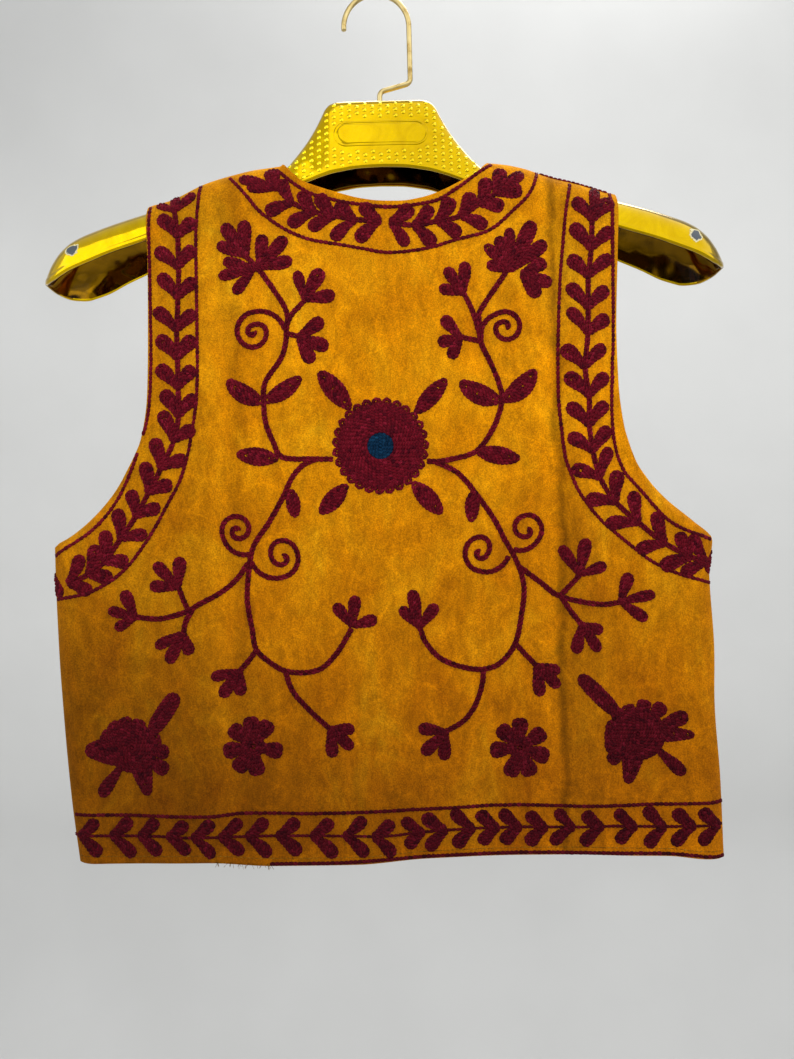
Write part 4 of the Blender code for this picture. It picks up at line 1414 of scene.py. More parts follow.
#: outlines of the back's borders, each one row of chain stitch
ARMHOLE_LINES = (
    ((-151.0, -138.0), (-151.0, -162.5), (-151.2, -201.0), (-151.8, -239.5), (-153.5, -265.0),
     (-155.6, -278.0), (-160.0, -292.0), (-165.8, -307.0), (-175.2, -326.5), (-186.0, -341.0),
     (-198.5, -351.6), (-219.5, -364.0)),
    ((-117.5, -125.5), (-118.4, -139.0), (-120.3, -162.5), (-121.0, -208.5), (-121.5, -244.0),
     (-122.8, -265.0), (-125.8, -283.0), (-129.5, -300.0), (-135.0, -317.0), (-143.5, -332.0),
     (-151.5, -346.0), (-160.5, -359.5), (-169.5, -370.5), (-180.0, -379.5), (-190.5, -385.5),
     (-200.0, -389.0), (-219.0, -392.2)),
    ((148.2, -136.5), (147.6, -183.0), (146.6, -228.0), (145.0, -260.0), (144.5, -279.0),
     (145.8, -300.0), (151.0, -317.0), (156.0, -324.0), (165.0, -334.5), (172.5, -343.5),
     (180.0, -351.0), (190.5, -357.2), (208.5, -364.0)),
    ((121.8, -131.0), (118.0, -149.0), (115.2, -172.0), (112.5, -198.5), (110.8, -226.5),
     (110.0, -249.0), (110.0, -271.0), (111.5, -292.0), (113.3, -308.5), (116.5, -319.0),
     (122.0, -332.0), (134.5, -348.5), (148.5, -361.0), (157.5, -368.4), (167.5, -376.4),
     (179.0, -382.8), (189.5, -387.0), (208.0, -392.5)),
)
NECK_LINES = (
    ((-67.5, -119.0), (-59.5, -127.0), (-49.0, -134.4), (-39.5, -138.6), (-19.0, -143.6),
     (5.0, -146.6), (24.0, -145.0), (36.0, -142.4), (46.0, -136.8), (53.5, -131.8),
     (64.5, -123.8), (71.0, -118.6)),
    ((-98.5, -122.0), (-87.0, -136.0), (-77.5, -147.6), (-62.5, -158.6), (-47.5, -165.4),
     (-31.0, -168.8), (-13.0, -172.4), (4.0, -175.4), (28.0, -173.2), (45.5, -168.4),
     (68.0, -162.4), (83.0, -150.6), (94.5, -139.2), (99.5, -127.6), (100.6, -123.0)),
)
HEM_LINES = (
    ((-214.0, -532.4), (-180.0, -532.8), (-140.0, -534.6), (-120.0, -535.4), (-100.0, -534.0),
     (-60.0, -535.5), (-20.0, -535.2), (20.0, -533.6), (60.0, -532.8), (100.0, -533.6),
     (140.0, -535.9), (180.0, -535.4), (212.0, -535.0)),
    ((-84.0, -567.4), (-60.0, -567.6), (-30.0, -567.4), (0.0, -565.6), (20.0, -564.2),
     (60.0, -563.6), (100.0, -564.2), (140.0, -566.2), (176.0, -567.2), (200.0, -570.0),
     (212.0, -570.4)),
)
SHOULDER_SEAM_LINE = ((103.0, -123.2), (116.0, -126.8), (130.0, -130.0), (147.0, -135.4))

#: the places where pairs of leaves spring from the borders' stems
ARMHOLE_LEFT = (
    (-132.0, -161.0), (-132.0, -181.0), (-133.0, -200.5), (-134.5, -221.0), (-134.5, -239.0),
    (-134.5, -258.0), (-135.0, -276.5), (-138.8, -292.0), (-147.5, -309.5), (-156.0, -325.0),
    (-164.8, -340.0), (-175.2, -354.5), (-186.4, -369.0), (-197.0, -376.6), (-210.5, -382.0))
ARMHOLE_RIGHT = (
    (134.7, -157.0), (133.5, -175.8), (131.2, -193.5), (130.5, -214.0), (129.6, -230.5),
    (127.2, -252.5), (129.4, -270.5), (129.2, -289.5), (131.2, -306.0), (136.0, -323.0),
    (146.0, -338.8), (160.8, -352.6), (177.8, -366.2), (194.5, -375.2), (205.0, -379.0))
NECK_LEFT_HALF = ((-1.0, -154.6), (-17.0, -154.0), (-29.5, -151.2), (-42.5, -148.4),
                  (-57.0, -142.4))
NECK_RIGHT_HALF = ((4.0, -156.0), (19.0, -158.4), (34.0, -156.4), (49.0, -153.4), (61.5, -146.0))
HEM_STEM = ((-212.0, -546.0), (-168.0, -546.4), (-134.0, -548.5), (-80.0, -549.5),
            (-35.0, -550.5), (-8.0, -551.0), (16.5, -548.5), (50.0, -547.2), (96.0, -547.8),
            (133.0, -549.0), (173.0, -550.0), (211.0, -549.6))
HEM_LEFT_X = (-209.0, -187.5, -169.0, -150.5, -134.5, -117.0, -99.5, -80.0, -57.5, -36.0, -17.5)
HEM_RIGHT_X = (17.0, 31.5, 49.5, 65.5, 80.0, 96.5, 114.5, 133.5, 155.5, 174.0, 193.0, 210.0)

#: the vine that spreads from the rosette in the middle of the back
VINE_STEMS = (
    # upper left, with its side shoots
    ((-36.0, -306.0), (-50.0, -305.6), (-68.5, -304.0), (-74.0, -294.0), (-78.6, -281.0),
     (-79.4, -268.0), (-78.0, -255.5), (-67.5, -241.0), (-64.0, -230.5), (-62.0, -216.5),
     (-50.5, -203.5)),
    ((-62.0, -217.5), (-64.0, -208.5), (-71.5, -196.0), (-79.5, -184.5), (-88.0, -175.0)),
    ((-79.5, -184.0), (-83.5, -182.5)),
    ((-63.5, -225.0), (-56.0, -227.0)),
    # upper right
    ((24.5, -309.0), (34.0, -309.0), (51.5, -305.5), (59.5, -300.5), (68.5, -287.0),
     (73.5, -272.0), (72.5, -262.0), (67.0, -247.5), (61.0, -234.0), (60.2, -220.0),
     (61.0, -213.5), (78.0, -189.5)),
    ((60.5, -233.0), (47.5, -230.0)),
    ((60.6, -231.0), (58.2, -221.0), (54.8, -211.0), (50.5, -202.0)),
    # lower left
    ((-47.0, -306.0), (-55.5, -309.5), (-62.8, -317.5), (-69.0, -330.0), (-78.5, -346.0),
     (-88.5, -360.5), (-92.0, -376.5), (-93.8, -395.0), (-91.2, -414.0), (-89.0, -427.5),
     (-80.0, -436.5), (-70.5, -442.0), (-58.0, -443.5), (-46.5, -440.5), (-36.0, -430.0),
     (-27.0, -415.5)),
    ((-92.5, -371.5), (-100.0, -381.5), (-110.8, -390.0), (-126.8, -398.2), (-132.0, -401.5),
     (-150.5, -406.0), (-166.0, -404.5)),
    ((-132.0, -401.5), (-135.5, -393.0), (-138.0, -385.5)),
    ((-129.5, -401.0), (-134.0, -408.0), (-135.6, -415.5)),
    ((-88.5, -427.5), (-94.0, -434.5), (-100.0, -441.0)),
    ((-70.5, -443.0), (-66.0, -456.0), (-54.5, -469.5), (-43.0, -480.5)),
    # lower right
    ((30.0, -309.5), (43.5, -316.5), (53.5, -328.0), (66.0, -346.0), (73.0, -360.0),
     (80.5, -374.5), (85.0, -390.0), (83.5, -407.0), (78.5, -428.0), (69.0, -440.0),
     (59.0, -444.0), (46.5, -443.0), (31.0, -437.0), (20.8, -426.0), (17.0, -415.5)),
    ((82.5, -378.5), (95.5, -388.5), (108.0, -398.0), (133.0, -404.0), (148.0, -403.0)),
    ((108.0, -398.0), (120.5, -384.5)),
    ((108.8, -398.4), (113.5, -406.5), (121.0, -416.5)),
    ((78.5, -428.0), (92.0, -443.0)),
    ((57.5, -445.0), (56.4, -454.5), (51.5, -467.5), (44.0, -477.0), (31.5, -484.0)),
)
#: centre, start angle, radii at the quarter turns, hand
CURLS = (
    ((-85.0, -223.0), 2.0, (20.5, 12.2, 10.2, 10.0, 8.6, 4.0, 3.6, 2.4, 1.2), 1),
    ((77.0, -224.0), 205.0, (17.5, 9.8, 9.4, 8.6, 7.2, 3.6, 2.4, 1.2), -1),
    ((-98.5, -350.5), -64.0, (17.0, 10.4, 9.8, 8.0, 5.6, 4.0, 2.4, 1.2), -1),
    ((-70.0, -368.5), 186.0, (20.4, 12.4, 9.8, 11.2, 7.2, 4.4, 2.6, 1.2), 1),
    ((87.5, -355.0), 235.0, (14.7, 9.8, 10.2, 8.6, 5.0, 3.4, 1.2), 1),
    ((57.0, -368.8), -8.0, (18.6, 11.6, 9.6, 10.4, 5.2, 3.6, 2.4, 1.2), -1),
)
#: base of each bud or fan, and the tip (x, z) and width of each of its petals
SPRIGS = (
    ((-56.0, -227.5), ((-40.0, -217.0, 8.6), (-37.0, -234.5, 8.6), (-47.5, -244.0, 8.4))),
    ((-51.5, -203.5), ((-55.8, -185.5, 6.6), (-40.0, -185.0, 9.2), (-32.0, -201.5, 8.2))),
    ((-87.8, -175.0), ((-102.5, -153.8, 8.4), (-89.0, -152.0, 8.4), (-106.5, -166.5, 7.2))),
    ((-79.8, -182.5), ((-77.0, -161.5, 8.0), (-62.0, -163.5, 8.2), (-58.8, -178.5, 8.2))),
    ((-83.0, -182.8), ((-102.8, -177.2, 6.8), (-106.2, -187.2, 6.8), (-96.5, -198.4, 7.0))),
    ((48.0, -230.5), ((36.6, -217.0, 7.6), (33.5, -233.5, 7.6), (41.0, -243.5, 7.4))),
    ((50.5, -202.5), ((39.5, -186.0, 7.0), (52.0, -182.5, 7.4), (35.0, -198.6, 6.8))),
    ((80.5, -188.5), ((96.5, -157.0, 9.6), (81.0, -161.0, 6.8), (73.6, -166.5, 8.0),
                      (65.0, -171.5, 6.2), (66.0, -184.0, 6.8), (104.5, -170.5, 8.6))),
    ((88.0, -190.5), ((104.0, -183.0, 8.2), (107.0, -197.5, 8.2), (98.5, -205.5, 8.6))),
    ((-166.5, -404.8), ((-173.8, -387.5, 8.0), (-184.0, -399.5, 6.6), (-180.0, -412.0, 6.4))),
    ((-138.0, -386.0), ((-153.0, -370.0, 7.6), (-136.5, -366.5, 8.2), (-156.5, -384.5, 7.4))),
    ((-136.0, -415.5), ((-154.0, -424.0, 6.8), (-146.0, -434.5, 7.8), (-131.8, -429.5, 7.6))),
    ((-100.0, -441.0), ((-118.6, -445.0, 6.6), (-112.8, -457.6, 7.6), (-100.4, -457.0, 7.8))),
    ((-26.5, -414.0), ((-37.5, -399.5, 7.2), (-24.0, -394.5, 7.6), (-10.5, -409.5, 7.4))),
    ((-43.0, -480.5), ((-27.0, -481.0, 7.2), (-28.5, -493.5, 7.2), (-41.5, -499.0, 7.6))),
    ((120.5, -384.5), ((109.0, -365.8, 7.0), (125.4, -361.2, 8.4), (138.4, -378.6, 7.0))),
    ((147.5, -403.0), ((154.0, -384.6, 8.2), (170.4, -398.4, 6.8), (165.0, -415.2, 7.0))),
    ((121.0, -416.5), ((117.3, -435.0, 7.6), (133.0, -434.4, 6.8), (135.4, -421.4, 6.8))),
    ((91.6, -442.6), ((107.0, -446.8, 6.8), (106.4, -457.0, 6.8), (94.2, -462.6, 7.6))),
    ((17.0, -416.0), ((4.8, -402.8, 6.8), (12.6, -391.5, 7.6), (28.2, -401.4, 7.4))),
    ((32.0, -483.6), ((14.6, -481.0, 7.6), (16.8, -498.0, 7.8), (30.6, -502.0, 7.8))),
)
#: base, tip, width and bow of the pointed leaves on the vine and round the rosette
VINE_LEAVES = (
    ((-24.0, -274.0), (-43.5, -249.5), 12.5, 0.0),
    ((18.0, -278.0), (38.5, -256.5), 10.6, 0.0),
    ((-27.5, -323.0), (-45.4, -341.0), 11.0, 0.0),
    ((15.0, -322.5), (33.4, -343.0), 11.5, 0.0),
    ((-71.5, -305.0), (-97.6, -301.4), 11.2, 0.0),
    ((-79.5, -268.0), (-102.0, -253.6), 11.4, 2.4),
    ((-79.5, -268.0), (-54.8, -252.4), 10.2, -1.6),
    ((56.0, -303.5), (84.5, -309.0), 11.0, 0.0),
    ((73.5, -271.0), (46.8, -258.2), 12.6, 2.6),
    ((73.5, -271.0), (95.2, -251.6), 12.6, -2.8),
    ((-63.5, -325.0), (-61.2, -343.0), 8.6, 0.0),
    ((53.6, -328.6), (52.0, -349.0), 8.8, 0.0),
)

ROSETTE = Rosette((-5.2, -298.4), 30.2, eye=8.7, scallops=27)
EYE_GAP = 0.3                # between the maroon thread and the teal eye
ROUND_FLOWERS = (
    RoundFlower((-93.0, -490.5), (93.0, 54.0, 347.0, 277.0, 235.0, 188.0, 137.0)),
    RoundFlower((80.0, -496.0), (88.0, 33.0, 341.0, 291.0, 247.0, 183.0, 133.0)),
)
CORNER_FLOWERS = (
    CornerFlower(
        body=(-171.0, -489.0), radius=16.4,
        tips=((-191.0, -480.4), (-184.8, -473.2), (-176.2, -469.6), (-165.6, -471.2),
              (-152.4, -483.6), (-147.4, -492.6), (-148.4, -505.0)),
        horns=(((-178.0, -491.0), (-202.0, -490.4), 19.0),
               ((-166.4, -498.0), (-161.6, -520.4), 13.0)),
        leaf=((-158.6, -480.0), (-140.8, -454.6), 10.6),
        stalk_leaf=((-178.0, -500.0), (-193.0, -520.4), 7.8)),
    CornerFlower(
        body=(157.2, -489.4), radius=17.4,
        tips=((150.4, -470.6), (162.4, -467.6), (174.2, -470.4), (189.4, -477.8),
              (142.2, -474.4), (136.6, -483.6), (135.4, -490.6), (135.8, -497.8),
              (138.4, -507.2)),
        horns=(((170.0, -489.0), (194.0, -490.8), 10.0),
               ((155.0, -498.0), (150.2, -522.0), 14.0)),
        leaf=((145.0, -476.6), (119.2, -449.8), 9.6),
        stalk_leaf=((168.6, -498.6), (186.6, -516.2), 7.8)),
)


def at_x(line: Sequence[Place], xs: Sequence[float]) -> tuple[Place, ...]:
    """Places on a line that runs along x, at the given x."""
    path = smooth_path(line)
    return tuple((x, float(np.interp(x, path[:, 0], path[:, 1]))) for x in xs)


def beside(path: Array, distance: float) -> Array:
    """The path moved sideways, to its left if distance is positive."""
    return path + path_normal(path) * distance


@dataclass
class BackEmbroidery:
    """Everything worked on the back: borders, vine, flowers and the teal eye."""

    panel: Panel

    def bed(self, seed: int, *motifs: object) -> StitchWork:
        """Work motifs together on the panel."""
        work = StitchWork(self.panel, seed)
        for motif in motifs:
            motif.work(work)
        return work

    def armholes(self) -> StitchWork:
        """Outlines and leaf garlands of both armholes."""
        crowns = (
            Sprig((-134.0, -143.5), ((-146.8, -136.4, 5.4), (-134.6, -131.8, 6.8),
                                     (-121.0, -131.6, 7.0))),
            Leaf((134.6, -152.0), (138.6, -134.0), 7.0),
            Leaf((-222.0, -376.0), (-215.5, -390.5), 8.0), Leaf((211.5, -371.0), (206.0, -386.0), 8.0),
            Stem(((-134.0, -143.0), (-132.0, -161.0))))
        return self.bed(
            11, *(Outline(line) for line in ARMHOLE_LINES), Outline(SHOULDER_SEAM_LINE), *crowns,
            Garland(ARMHOLE_LEFT, opens=-1, lengths=(16.4, 18.8), width=8.8, spread=43.0, seed=3),
            Garland(ARMHOLE_RIGHT, opens=-1, lengths=(19.2, 19.2), width=8.8, spread=44.0, seed=4))

    def neck(self) -> StitchWork:
        """Outlines and garland round the neck, opening from the middle to each shoulder."""
        crowns = (
            Sprig((-66.5, -132.0), ((-86.2, -129.4, 9.0), (-92.0, -123.6, 7.0),
                                    (-72.0, -118.6, 9.6))),
            Sprig((72.6, -139.0), ((77.0, -122.4, 9.0), (91.0, -125.0, 7.4), (89.6, -137.0, 9.4))),
            Stem(((-57.0, -142.4), (-66.5, -132.0))), Stem(((61.5, -146.0), (72.6, -139.0))))
        return self.bed(
            12, *(Outline(line) for line in NECK_LINES), *crowns,
            Garland(NECK_LEFT_HALF, lengths=(16.0, 18.4), width=8.8, spread=42.0, seed=5),
            Garland(NECK_RIGHT_HALF, lengths=(16.6, 16.0), width=8.8, spread=44.0, seed=6))

    def hem(self) -> StitchWork:
        """Outlines and garland above the hem, opening towards the middle."""
        return self.bed(
            13, *(Outline(line) for line in HEM_LINES), Stem(HEM_STEM, rows=1),
            Garland(at_x(HEM_STEM, HEM_LEFT_X), rows=0, lengths=(18.6, 16.4), width=8.2,
                    spread=41.0, seed=7),
            Garland(at_x(HEM_STEM, HEM_RIGHT_X), opens=-1, rows=0, lengths=(16.8, 16.8),
                    width=8.2, spread=40.0, seed=8))

    def vine(self) -> StitchWork:
        """The vine's stems, curls, leaves and buds."""
        return self.bed(
            14, *(Stem(line) for line in VINE_STEMS), *(Curl(*curl) for curl in CURLS),
            *(Sprig(*sprig) for sprig in SPRIGS),
            *(Leaf(*leaf, shape=LeafShape.LANCE) for leaf in VINE_LEAVES))

    def flowers(self) -> StitchWork:
        """The rosette, the two round flowers and the two corner flowers."""
        return self.bed(15, ROSETTE, *ROUND_FLOWERS, *CORNER_FLOWERS)

    def build(self) -> list[bpy.types.Object]:
        """Make each group of stitches as one piece, and give it its thread."""
        beds = {"back_armhole_borders": self.armholes(), "back_neck_border": self.neck(),
                "back_hem_border": self.hem(), "back_vine": self.vine(),
                "back_flowers": self.flowers()}
        pieces = [bed.build(name) for name, bed in beds.items()]
        MAROON.dress(*pieces)
        eye = self.bed(16, Disc(ROSETTE.centre, ROSETTE.eye - EYE_GAP)).build("back_rosette_eye")
        TEAL.dress(eye)
        return pieces + [eye]


@dataclass
class FrontEmbroidery:
    """The borders of one front: armhole, open edge and hem, and nothing between them."""

    panel: Panel
    sign: int
    outer_line: float = 3.6      # distances of the outlines and the stem from the edge
    stem_line: float = 17.0
    inner_line: float = 31.0
    spacing: float = 18.0        # between pairs of leaves
    shoulder: float = -137.0     # level where the armhole's line starts
    past_seam: float = 45.0      # how far that line goes on, to be trimmed at the seam
    neck_point: float = -115.0   # level where the open edge's line starts
    turn_level: float = -560.0   # where its distance from the middle is read for the corner
    side: float = 212.0          # x where the hem's line ends

    def armhole_edge(self) -> Array:
        """The armhole from the shoulder to the armpit, then on beyond the side seam."""
        edge = self.panel.edge_low if self.sign < 0 else self.panel.edge_high
        level = np.arange(self.shoulder, self.panel.armpit, -1.0)
        height = level + self.panel.drop(self.sign * SHOULDER_HALF, level)
        line = np.stack([edge(level), height], axis=1)
        way = unit(line[-1] - line[-24])
        return np.vstack([line, line[-1] + way * np.arange(1.0, self.past_seam)[:, None]])

    def open_edge(self, inset: float) -> Array:
        """A line beside the open edge and then above the hem, from the neck point on."""
        edge = centre_edge(self.sign)
        z = np.arange(self.neck_point, self.panel.lowest, -1.0)
        down = beside(np.stack([edge(z), z], axis=1), self.sign * inset)
        corner_x = abs(edge(np.array([self.turn_level]))[0]) + inset
        x = self.sign * np.arange(corner_x, self.side, 1.0)
        across = np.stack([x, self.panel.hem(x * SHOULDER_HALF / CHEST_HALF) + inset], axis=1)
        return np.vstack([down[down[:, 1] > across[0, 1] + 1.0], across])

    def trim(self, line: Array, margin: float = 3.0) -> Array:
        """The part of a line that lies on the panel, clear of its seams."""
        x, z = line[:, 0], line[:, 1]
        u = self.panel.column_at(x, z)
        sewn, free = self.panel.edge_distance(x, z, u)
        kept = (sewn > margin) & (free > 1.5) & (z < self.panel.crest(u) - 3.0)
        return line[kept]

    def build(self) -> list[bpy.types.Object]:
        """Work the borders as one piece of stitches."""
        bed = StitchWork(self.panel, 21 if self.sign < 0 else 22, PLAIN_LINK)
        armhole = self.armhole_edge()
        lines = {}
        for inset in (self.outer_line, self.stem_line, self.inner_line):
            lines[inset] = (self.trim(beside(armhole, -self.sign * inset)),
                            self.trim(self.open_edge(inset)))
        for inset in (self.outer_line, self.inner_line):
            for line in lines[inset]:
                bed.row(even(line, 1.0), Stitch.LINE)
        for number, line in enumerate(lines[self.stem_line]):
            knots = even(line, self.spacing)[1:]
            Stem(tuple(map(tuple, line[::6]))).work(bed)
            Garland(tuple(map(tuple, knots)), opens=-1, rows=0, lengths=(16.4, 16.4), width=8.2,
                    spread=43.0, seed=30 + number).work(bed)
        piece = bed.build(self.panel.name + "_borders")
        MAROON.dress(piece)
        return [piece]


# ---------------------------------------------------------------- sewing

@dataclass
class Cut:
    """Flat size of one cut piece before it was sewn and hung, in metres."""

    width: float
    length: float
    area: float


@dataclass
class Garment:
    """One panel with its velvet, its embroidery, its hem stitches and its loose threads."""

    panel: Panel
    velvet: Velvet
    cut: Cut

    def hem_line(self, inset: float) -> Array:
        """A line above the hem, from one side to the other."""
        u = np.linspace(self.panel.x_low, self.panel.x_high, 120)
        z = self.panel.hem(u) + inset
        level = z - self.panel.drop(u, z)
        low, high = self.panel.edge_low(level), self.panel.edge_high(level)
        share = (u - self.panel.x_low) / (self.panel.x_high - self.panel.x_low)
        line = np.stack([low + (high - low) * share, z], axis=1)
        inside = (line[:, 0] > low[0] + 2.5) & (line[:, 0] < high[-1] - 2.5)
        return line[inside]

    def sewing(self) -> bpy.types.Object:
        """The machine row that holds the hem's turned edge, and a few frayed fibres."""
        bed = StitchWork(self.panel, 41, PLAIN_LINK)
        bed.row(self.hem_line(self.panel.stitch_line), Stitch.MACHINE, skip=0.32)
        rng = np.random.default_rng(43)
        if self.panel.side < 0:
            for x in rng.uniform(-119.0, -84.0, 26):
                foot = float(self.panel.hem(np.array([x * SHOULDER_HALF / CHEST_HALF]))[0])
                lean, reach = rng.normal(0.0, 1.6), rng.uniform(1.2, 3.0)
                bed.row(np.array([(x, foot + 1.0), (x + lean, foot - reach)]), Stitch.FIBRE)
        piece = bed.build(self.panel.name + "_hem_stitches")
        MUSTARD.dress(piece)
        return piece

    def build(self, embroidery: BackEmbroidery | FrontEmbroidery) -> None:
        """Make every piece of the panel and attach each one to the frame's root body."""
        cloth = self.panel.build()
        self.velvet.dress(cloth)
        on_it = embroidery.build() + [self.sewing()]
        for piece in [cloth] + on_it:
            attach(piece, "root")
        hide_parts(self.panel.name)


# ---------------------------------------------------------------- the hanger

@dataclass
class HangerShell:
    """The moulded shell: two arms and a studded block with a blank oval field."""

    form: HangerForm
    rows: int = 84
    tip_start: float = 207.0     # beyond it the columns lie closer
    bead_width: float = 2.3      # thickened lip along both rims
    bead_height: float = 0.45
    stud_pitch_x: float = 5.0
    stud_pitch_z: float = 4.45
    stud_radius: float = 1.6
    stud_height: float = 0.72
    stud_root: float = -0.6      # how deep a stud's foot is set
    stud_columns: int = 13       # to each side of the middle one
    stud_rows: int = 14
    stud_top: float = -75.4      # height of the first row
    stud_margins: Place = (2.2, 2.4)     # least distance below the crest and above the rim
    field_margin: float = 2.1    # and from the oval field
    field_centre: Place = (0.2, -96.4)
    field_half: Place = (30.2, 8.3)
    rib_place: float = 158.0
    rib_half: float = 0.7        # half its thickness
    rib_deep: float = 6.5        # how far it reaches above the rim
    sides: int = 8               # of a stud

    def columns(self) -> Array:
        """Places along the hanger, close together at the block's shoulders and the tips."""
        start, tip, end = self.form.arm_start, self.tip_start, self.form.sections[-1, 0]
        half = np.concatenate([np.arange(0.0, start, 1.25), np.linspace(start, tip, 72),
                               np.linspace(tip + 1.2, end, 30)])
        return np.concatenate([-half[:0:-1], half])

    def angles(self, x: Array) -> Array:
        """Angles round each section that space its points evenly, rows by columns."""
        even_angle = np.linspace(-math.pi / 2, math.pi / 2, self.rows)[:, None]
        spread = np.tan(np.abs(even_angle)) ** (1.0 / self.form.power(x))
        return np.sign(even_angle) * np.arctan(spread)

    def face_depth(self, x: Array, z: Array, side: int) -> Array:
        """y of the outer face at a place on the block."""
        crest, rim = self.form.value("crest", x), self.form.value("rim", x)
        rise = np.clip((z - rim) / (crest - rim), 0.0, 0.999)
        power = self.form.power(x)
        sine = np.sqrt(1.0 - rise ** (2.0 / power)) ** power
        taper = 1.0 - self.form.plate_taper * self.form.boxy(x) * rise
        return self.form.value("mid", x) + side * self.form.value("half", x) * sine * taper

    def shell(self) -> bpy.types.Object:
        """Outer and inner skin, joined by a rounded lip along both rims."""
        x = self.columns()
        angles = self.angles(x)
        outer = self.form.surface(x, angles, 0.0)
        inner = self.form.surface(x, angles, self.form.wall)
        normal = unit(np.cross(np.gradient(outer, axis=1), np.gradient(outer, axis=0)))
        middle = np.stack([x, self.form.value("mid", x), self.form.value("rim", x)], axis=1)
        normal *= np.sign(np.einsum("rcj,rcj->rc", normal, outer - middle))[..., None]
        low = np.stack([outer[0, :, 2], outer[-1, :, 2]]).max(axis=0)
        above = np.minimum(np.abs(outer[..., 2] - outer[0, :, 2]),
                           np.abs(outer[..., 2] - outer[-1, :, 2]))
        tall = self.form.value("crest", x) - low
        bead = self.bead_height * ease(self.bead_width + 0.7, self.bead_width, above)
        outer = outer + normal * (bead * ease(2.0, 9.0, tall))[..., None]
        rows, columns, _ = outer.shape
        count = rows * columns
        lips = [(outer[row] + inner[row]) / 2 - [0.0, 0.0, 0.35] for row in (0, -1)]
        points = np.concatenate([outer.reshape(-1, 3), inner.reshape(-1, 3), *lips])
        quads = grid_quads(rows, columns)
        c = np.arange(columns - 1)
        strips = []
        for row, lip in ((0, 2 * count), (rows - 1, 2 * count + columns)):
            near = row * columns + c
            strip = [np.stack([near, near + 1, lip + c + 1, lip + c], axis=1),
                     np.stack([lip + c, lip + c + 1, count + near + 1, count + near], axis=1)]
            strips += strip if row == 0 else [part[:, ::-1] for part in strip]
        faces = np.concatenate([quads, quads[:, ::-1] + count, *strips])
        piece = make_mesh("hanger_shell", points, faces)
        weld(piece)
        facing_out(piece)
        GOLD.dress(piece)
        # painted shade: the hollow's faces get a darker copy of the gold
        piece.data.materials.append(GOLD_PAINTED_DARK.material)
        self.paint_shade_in_hollow(piece)
        return piece

    def paint_shade_in_hollow(self, piece: bpy.types.Object) -> None:
        """Give the faces of the hollow the second material, a darker copy of the gold: painted shade.
        """
        mesh = piece.data
        centres = np.zeros(len(mesh.polygons) * 3, np.float32)
        normals = np.zeros(len(mesh.polygons) * 3, np.float32)
        mesh.polygons.foreach_get("center", centres)
        mesh.polygons.foreach_get("normal", normals)
        centres, normals = centres.reshape(-1, 3) / MM, normals.reshape(-1, 3)
        x = centres[:, 0]
        to_middle = np.stack([np.zeros(len(x)), self.form.value("mid", x) - centres[:, 1],
                              self.form.value("rim", x) - centres[:, 2]], axis=1)
        inward = np.einsum("ij,ij->i", normals, to_middle) > 0
        above_rim = centres[:, 2] > self.form.value("rim", x) - self.form.value("drop", x) + 0.5
        mesh.polygons.foreach_set("material_index", (inward & above_rim).astype(np.int32))

    def stud_places(self) -> dict[int, Array]:
        """Places (x, z) of the studs on each side, in staggered columns clear of the edges."""
        places = np.array([
            (k * self.stud_pitch_x, self.stud_top - (j + 0.5 * (k % 2)) * self.stud_pitch_z)
            for k in range(-self.stud_columns, self.stud_columns + 1)
            for j in range(self.stud_rows)])
        x, z = places[:, 0], places[:, 1]
        crest, rim = self.form.value("crest", x), self.form.value("rim", x)
        slope = self.form.value("crest", x + 0.5) - self.form.value("crest", x - 0.5)
        below_crest, above_rim = self.stud_margins
        kept = ((crest - z) / np.sqrt(1 + slope ** 2) > below_crest) & (z - rim > above_rim)
        radius = self.field_half[1]
        run = self.field_half[0] - radius
        dx = np.maximum(np.abs(x - self.field_centre[0]) - run, 0.0)
        off_field = np.hypot(dx, z - self.field_centre[1]) > radius + self.field_margin
        return {-1: places[kept & off_field], 1: places[kept]}

    def studs(self) -> bpy.types.Object:
        """Low round studs over both faces of the block."""
        turn = np.linspace(0.0, 2 * math.pi, self.sides, endpoint=False)
        rings = np.array([(0.40, 0.62), (0.82, 0.28), (1.12, -0.25)])    # share of radius, height
        groups = []
        for side, at in self.stud_places().items():
            top = np.full(len(at), self.stud_height)
            dots = [np.stack([at[:, 0], at[:, 1], top], axis=1)[:, None]]
            for share, height in rings:
                ring = np.stack([at[:, :1] + self.stud_radius * share * np.cos(turn),
                                 at[:, 1:] + self.stud_radius * share * np.sin(turn),
                                 np.full((len(at), self.sides), height)], axis=2)
                dots.append(ring)
            root = np.full(len(at), self.stud_root)
            dots.append(np.stack([at[:, 0], at[:, 1], root], axis=1)[:, None])
            flat = np.concatenate(dots, axis=1)
            y = self.face_depth(flat[..., 0], flat[..., 1], side) + side * flat[..., 2]
            groups.append(np.stack([flat[..., 0], y, flat[..., 1]], axis=2))
        points = np.concatenate(groups)
        base = (np.arange(len(points)) * points.shape[1])[:, None, None]
        # a stud's points are its top, three rings and its root
        k = np.arange(self.sides)
        after = (k + 1) % self.sides
        first, second, third, end = 1 + self.sides * np.arange(4)
        top = np.stack([np.zeros_like(k), first + k, first + after], axis=1)
        foot = np.stack([np.full_like(k, end), third + after, third + k], axis=1)
        walls = np.concatenate([np.stack([near + k, far + k, far + after, near + after], axis=1)
                                for near, far in ((first, second), (second, third))])
        pointing = np.concatenate([np.full(len(groups[0]), -1), np.full(len(groups[1]), 1)])
        quads = (walls + base).reshape(len(points), -1, 4)
        tris = (np.concatenate([top, foot]) + base).reshape(len(points), -1, 3)
        quads[pointing > 0] = quads[pointing > 0][..., ::-1]
        tris[pointing > 0] = tris[pointing > 0][..., ::-1]
        piece = make_mesh("hanger_studs", points.reshape(-1, 3), quads.reshape(-1, 4),
                          tris.reshape(-1, 3))
        facing_out(piece)
        # painted highlight: a brighter copy of the gold
        GOLD_PAINTED_BRIGHTER.dress(piece)
        LOG.info("hanger_studs: %d studs", len(points))
        return piece

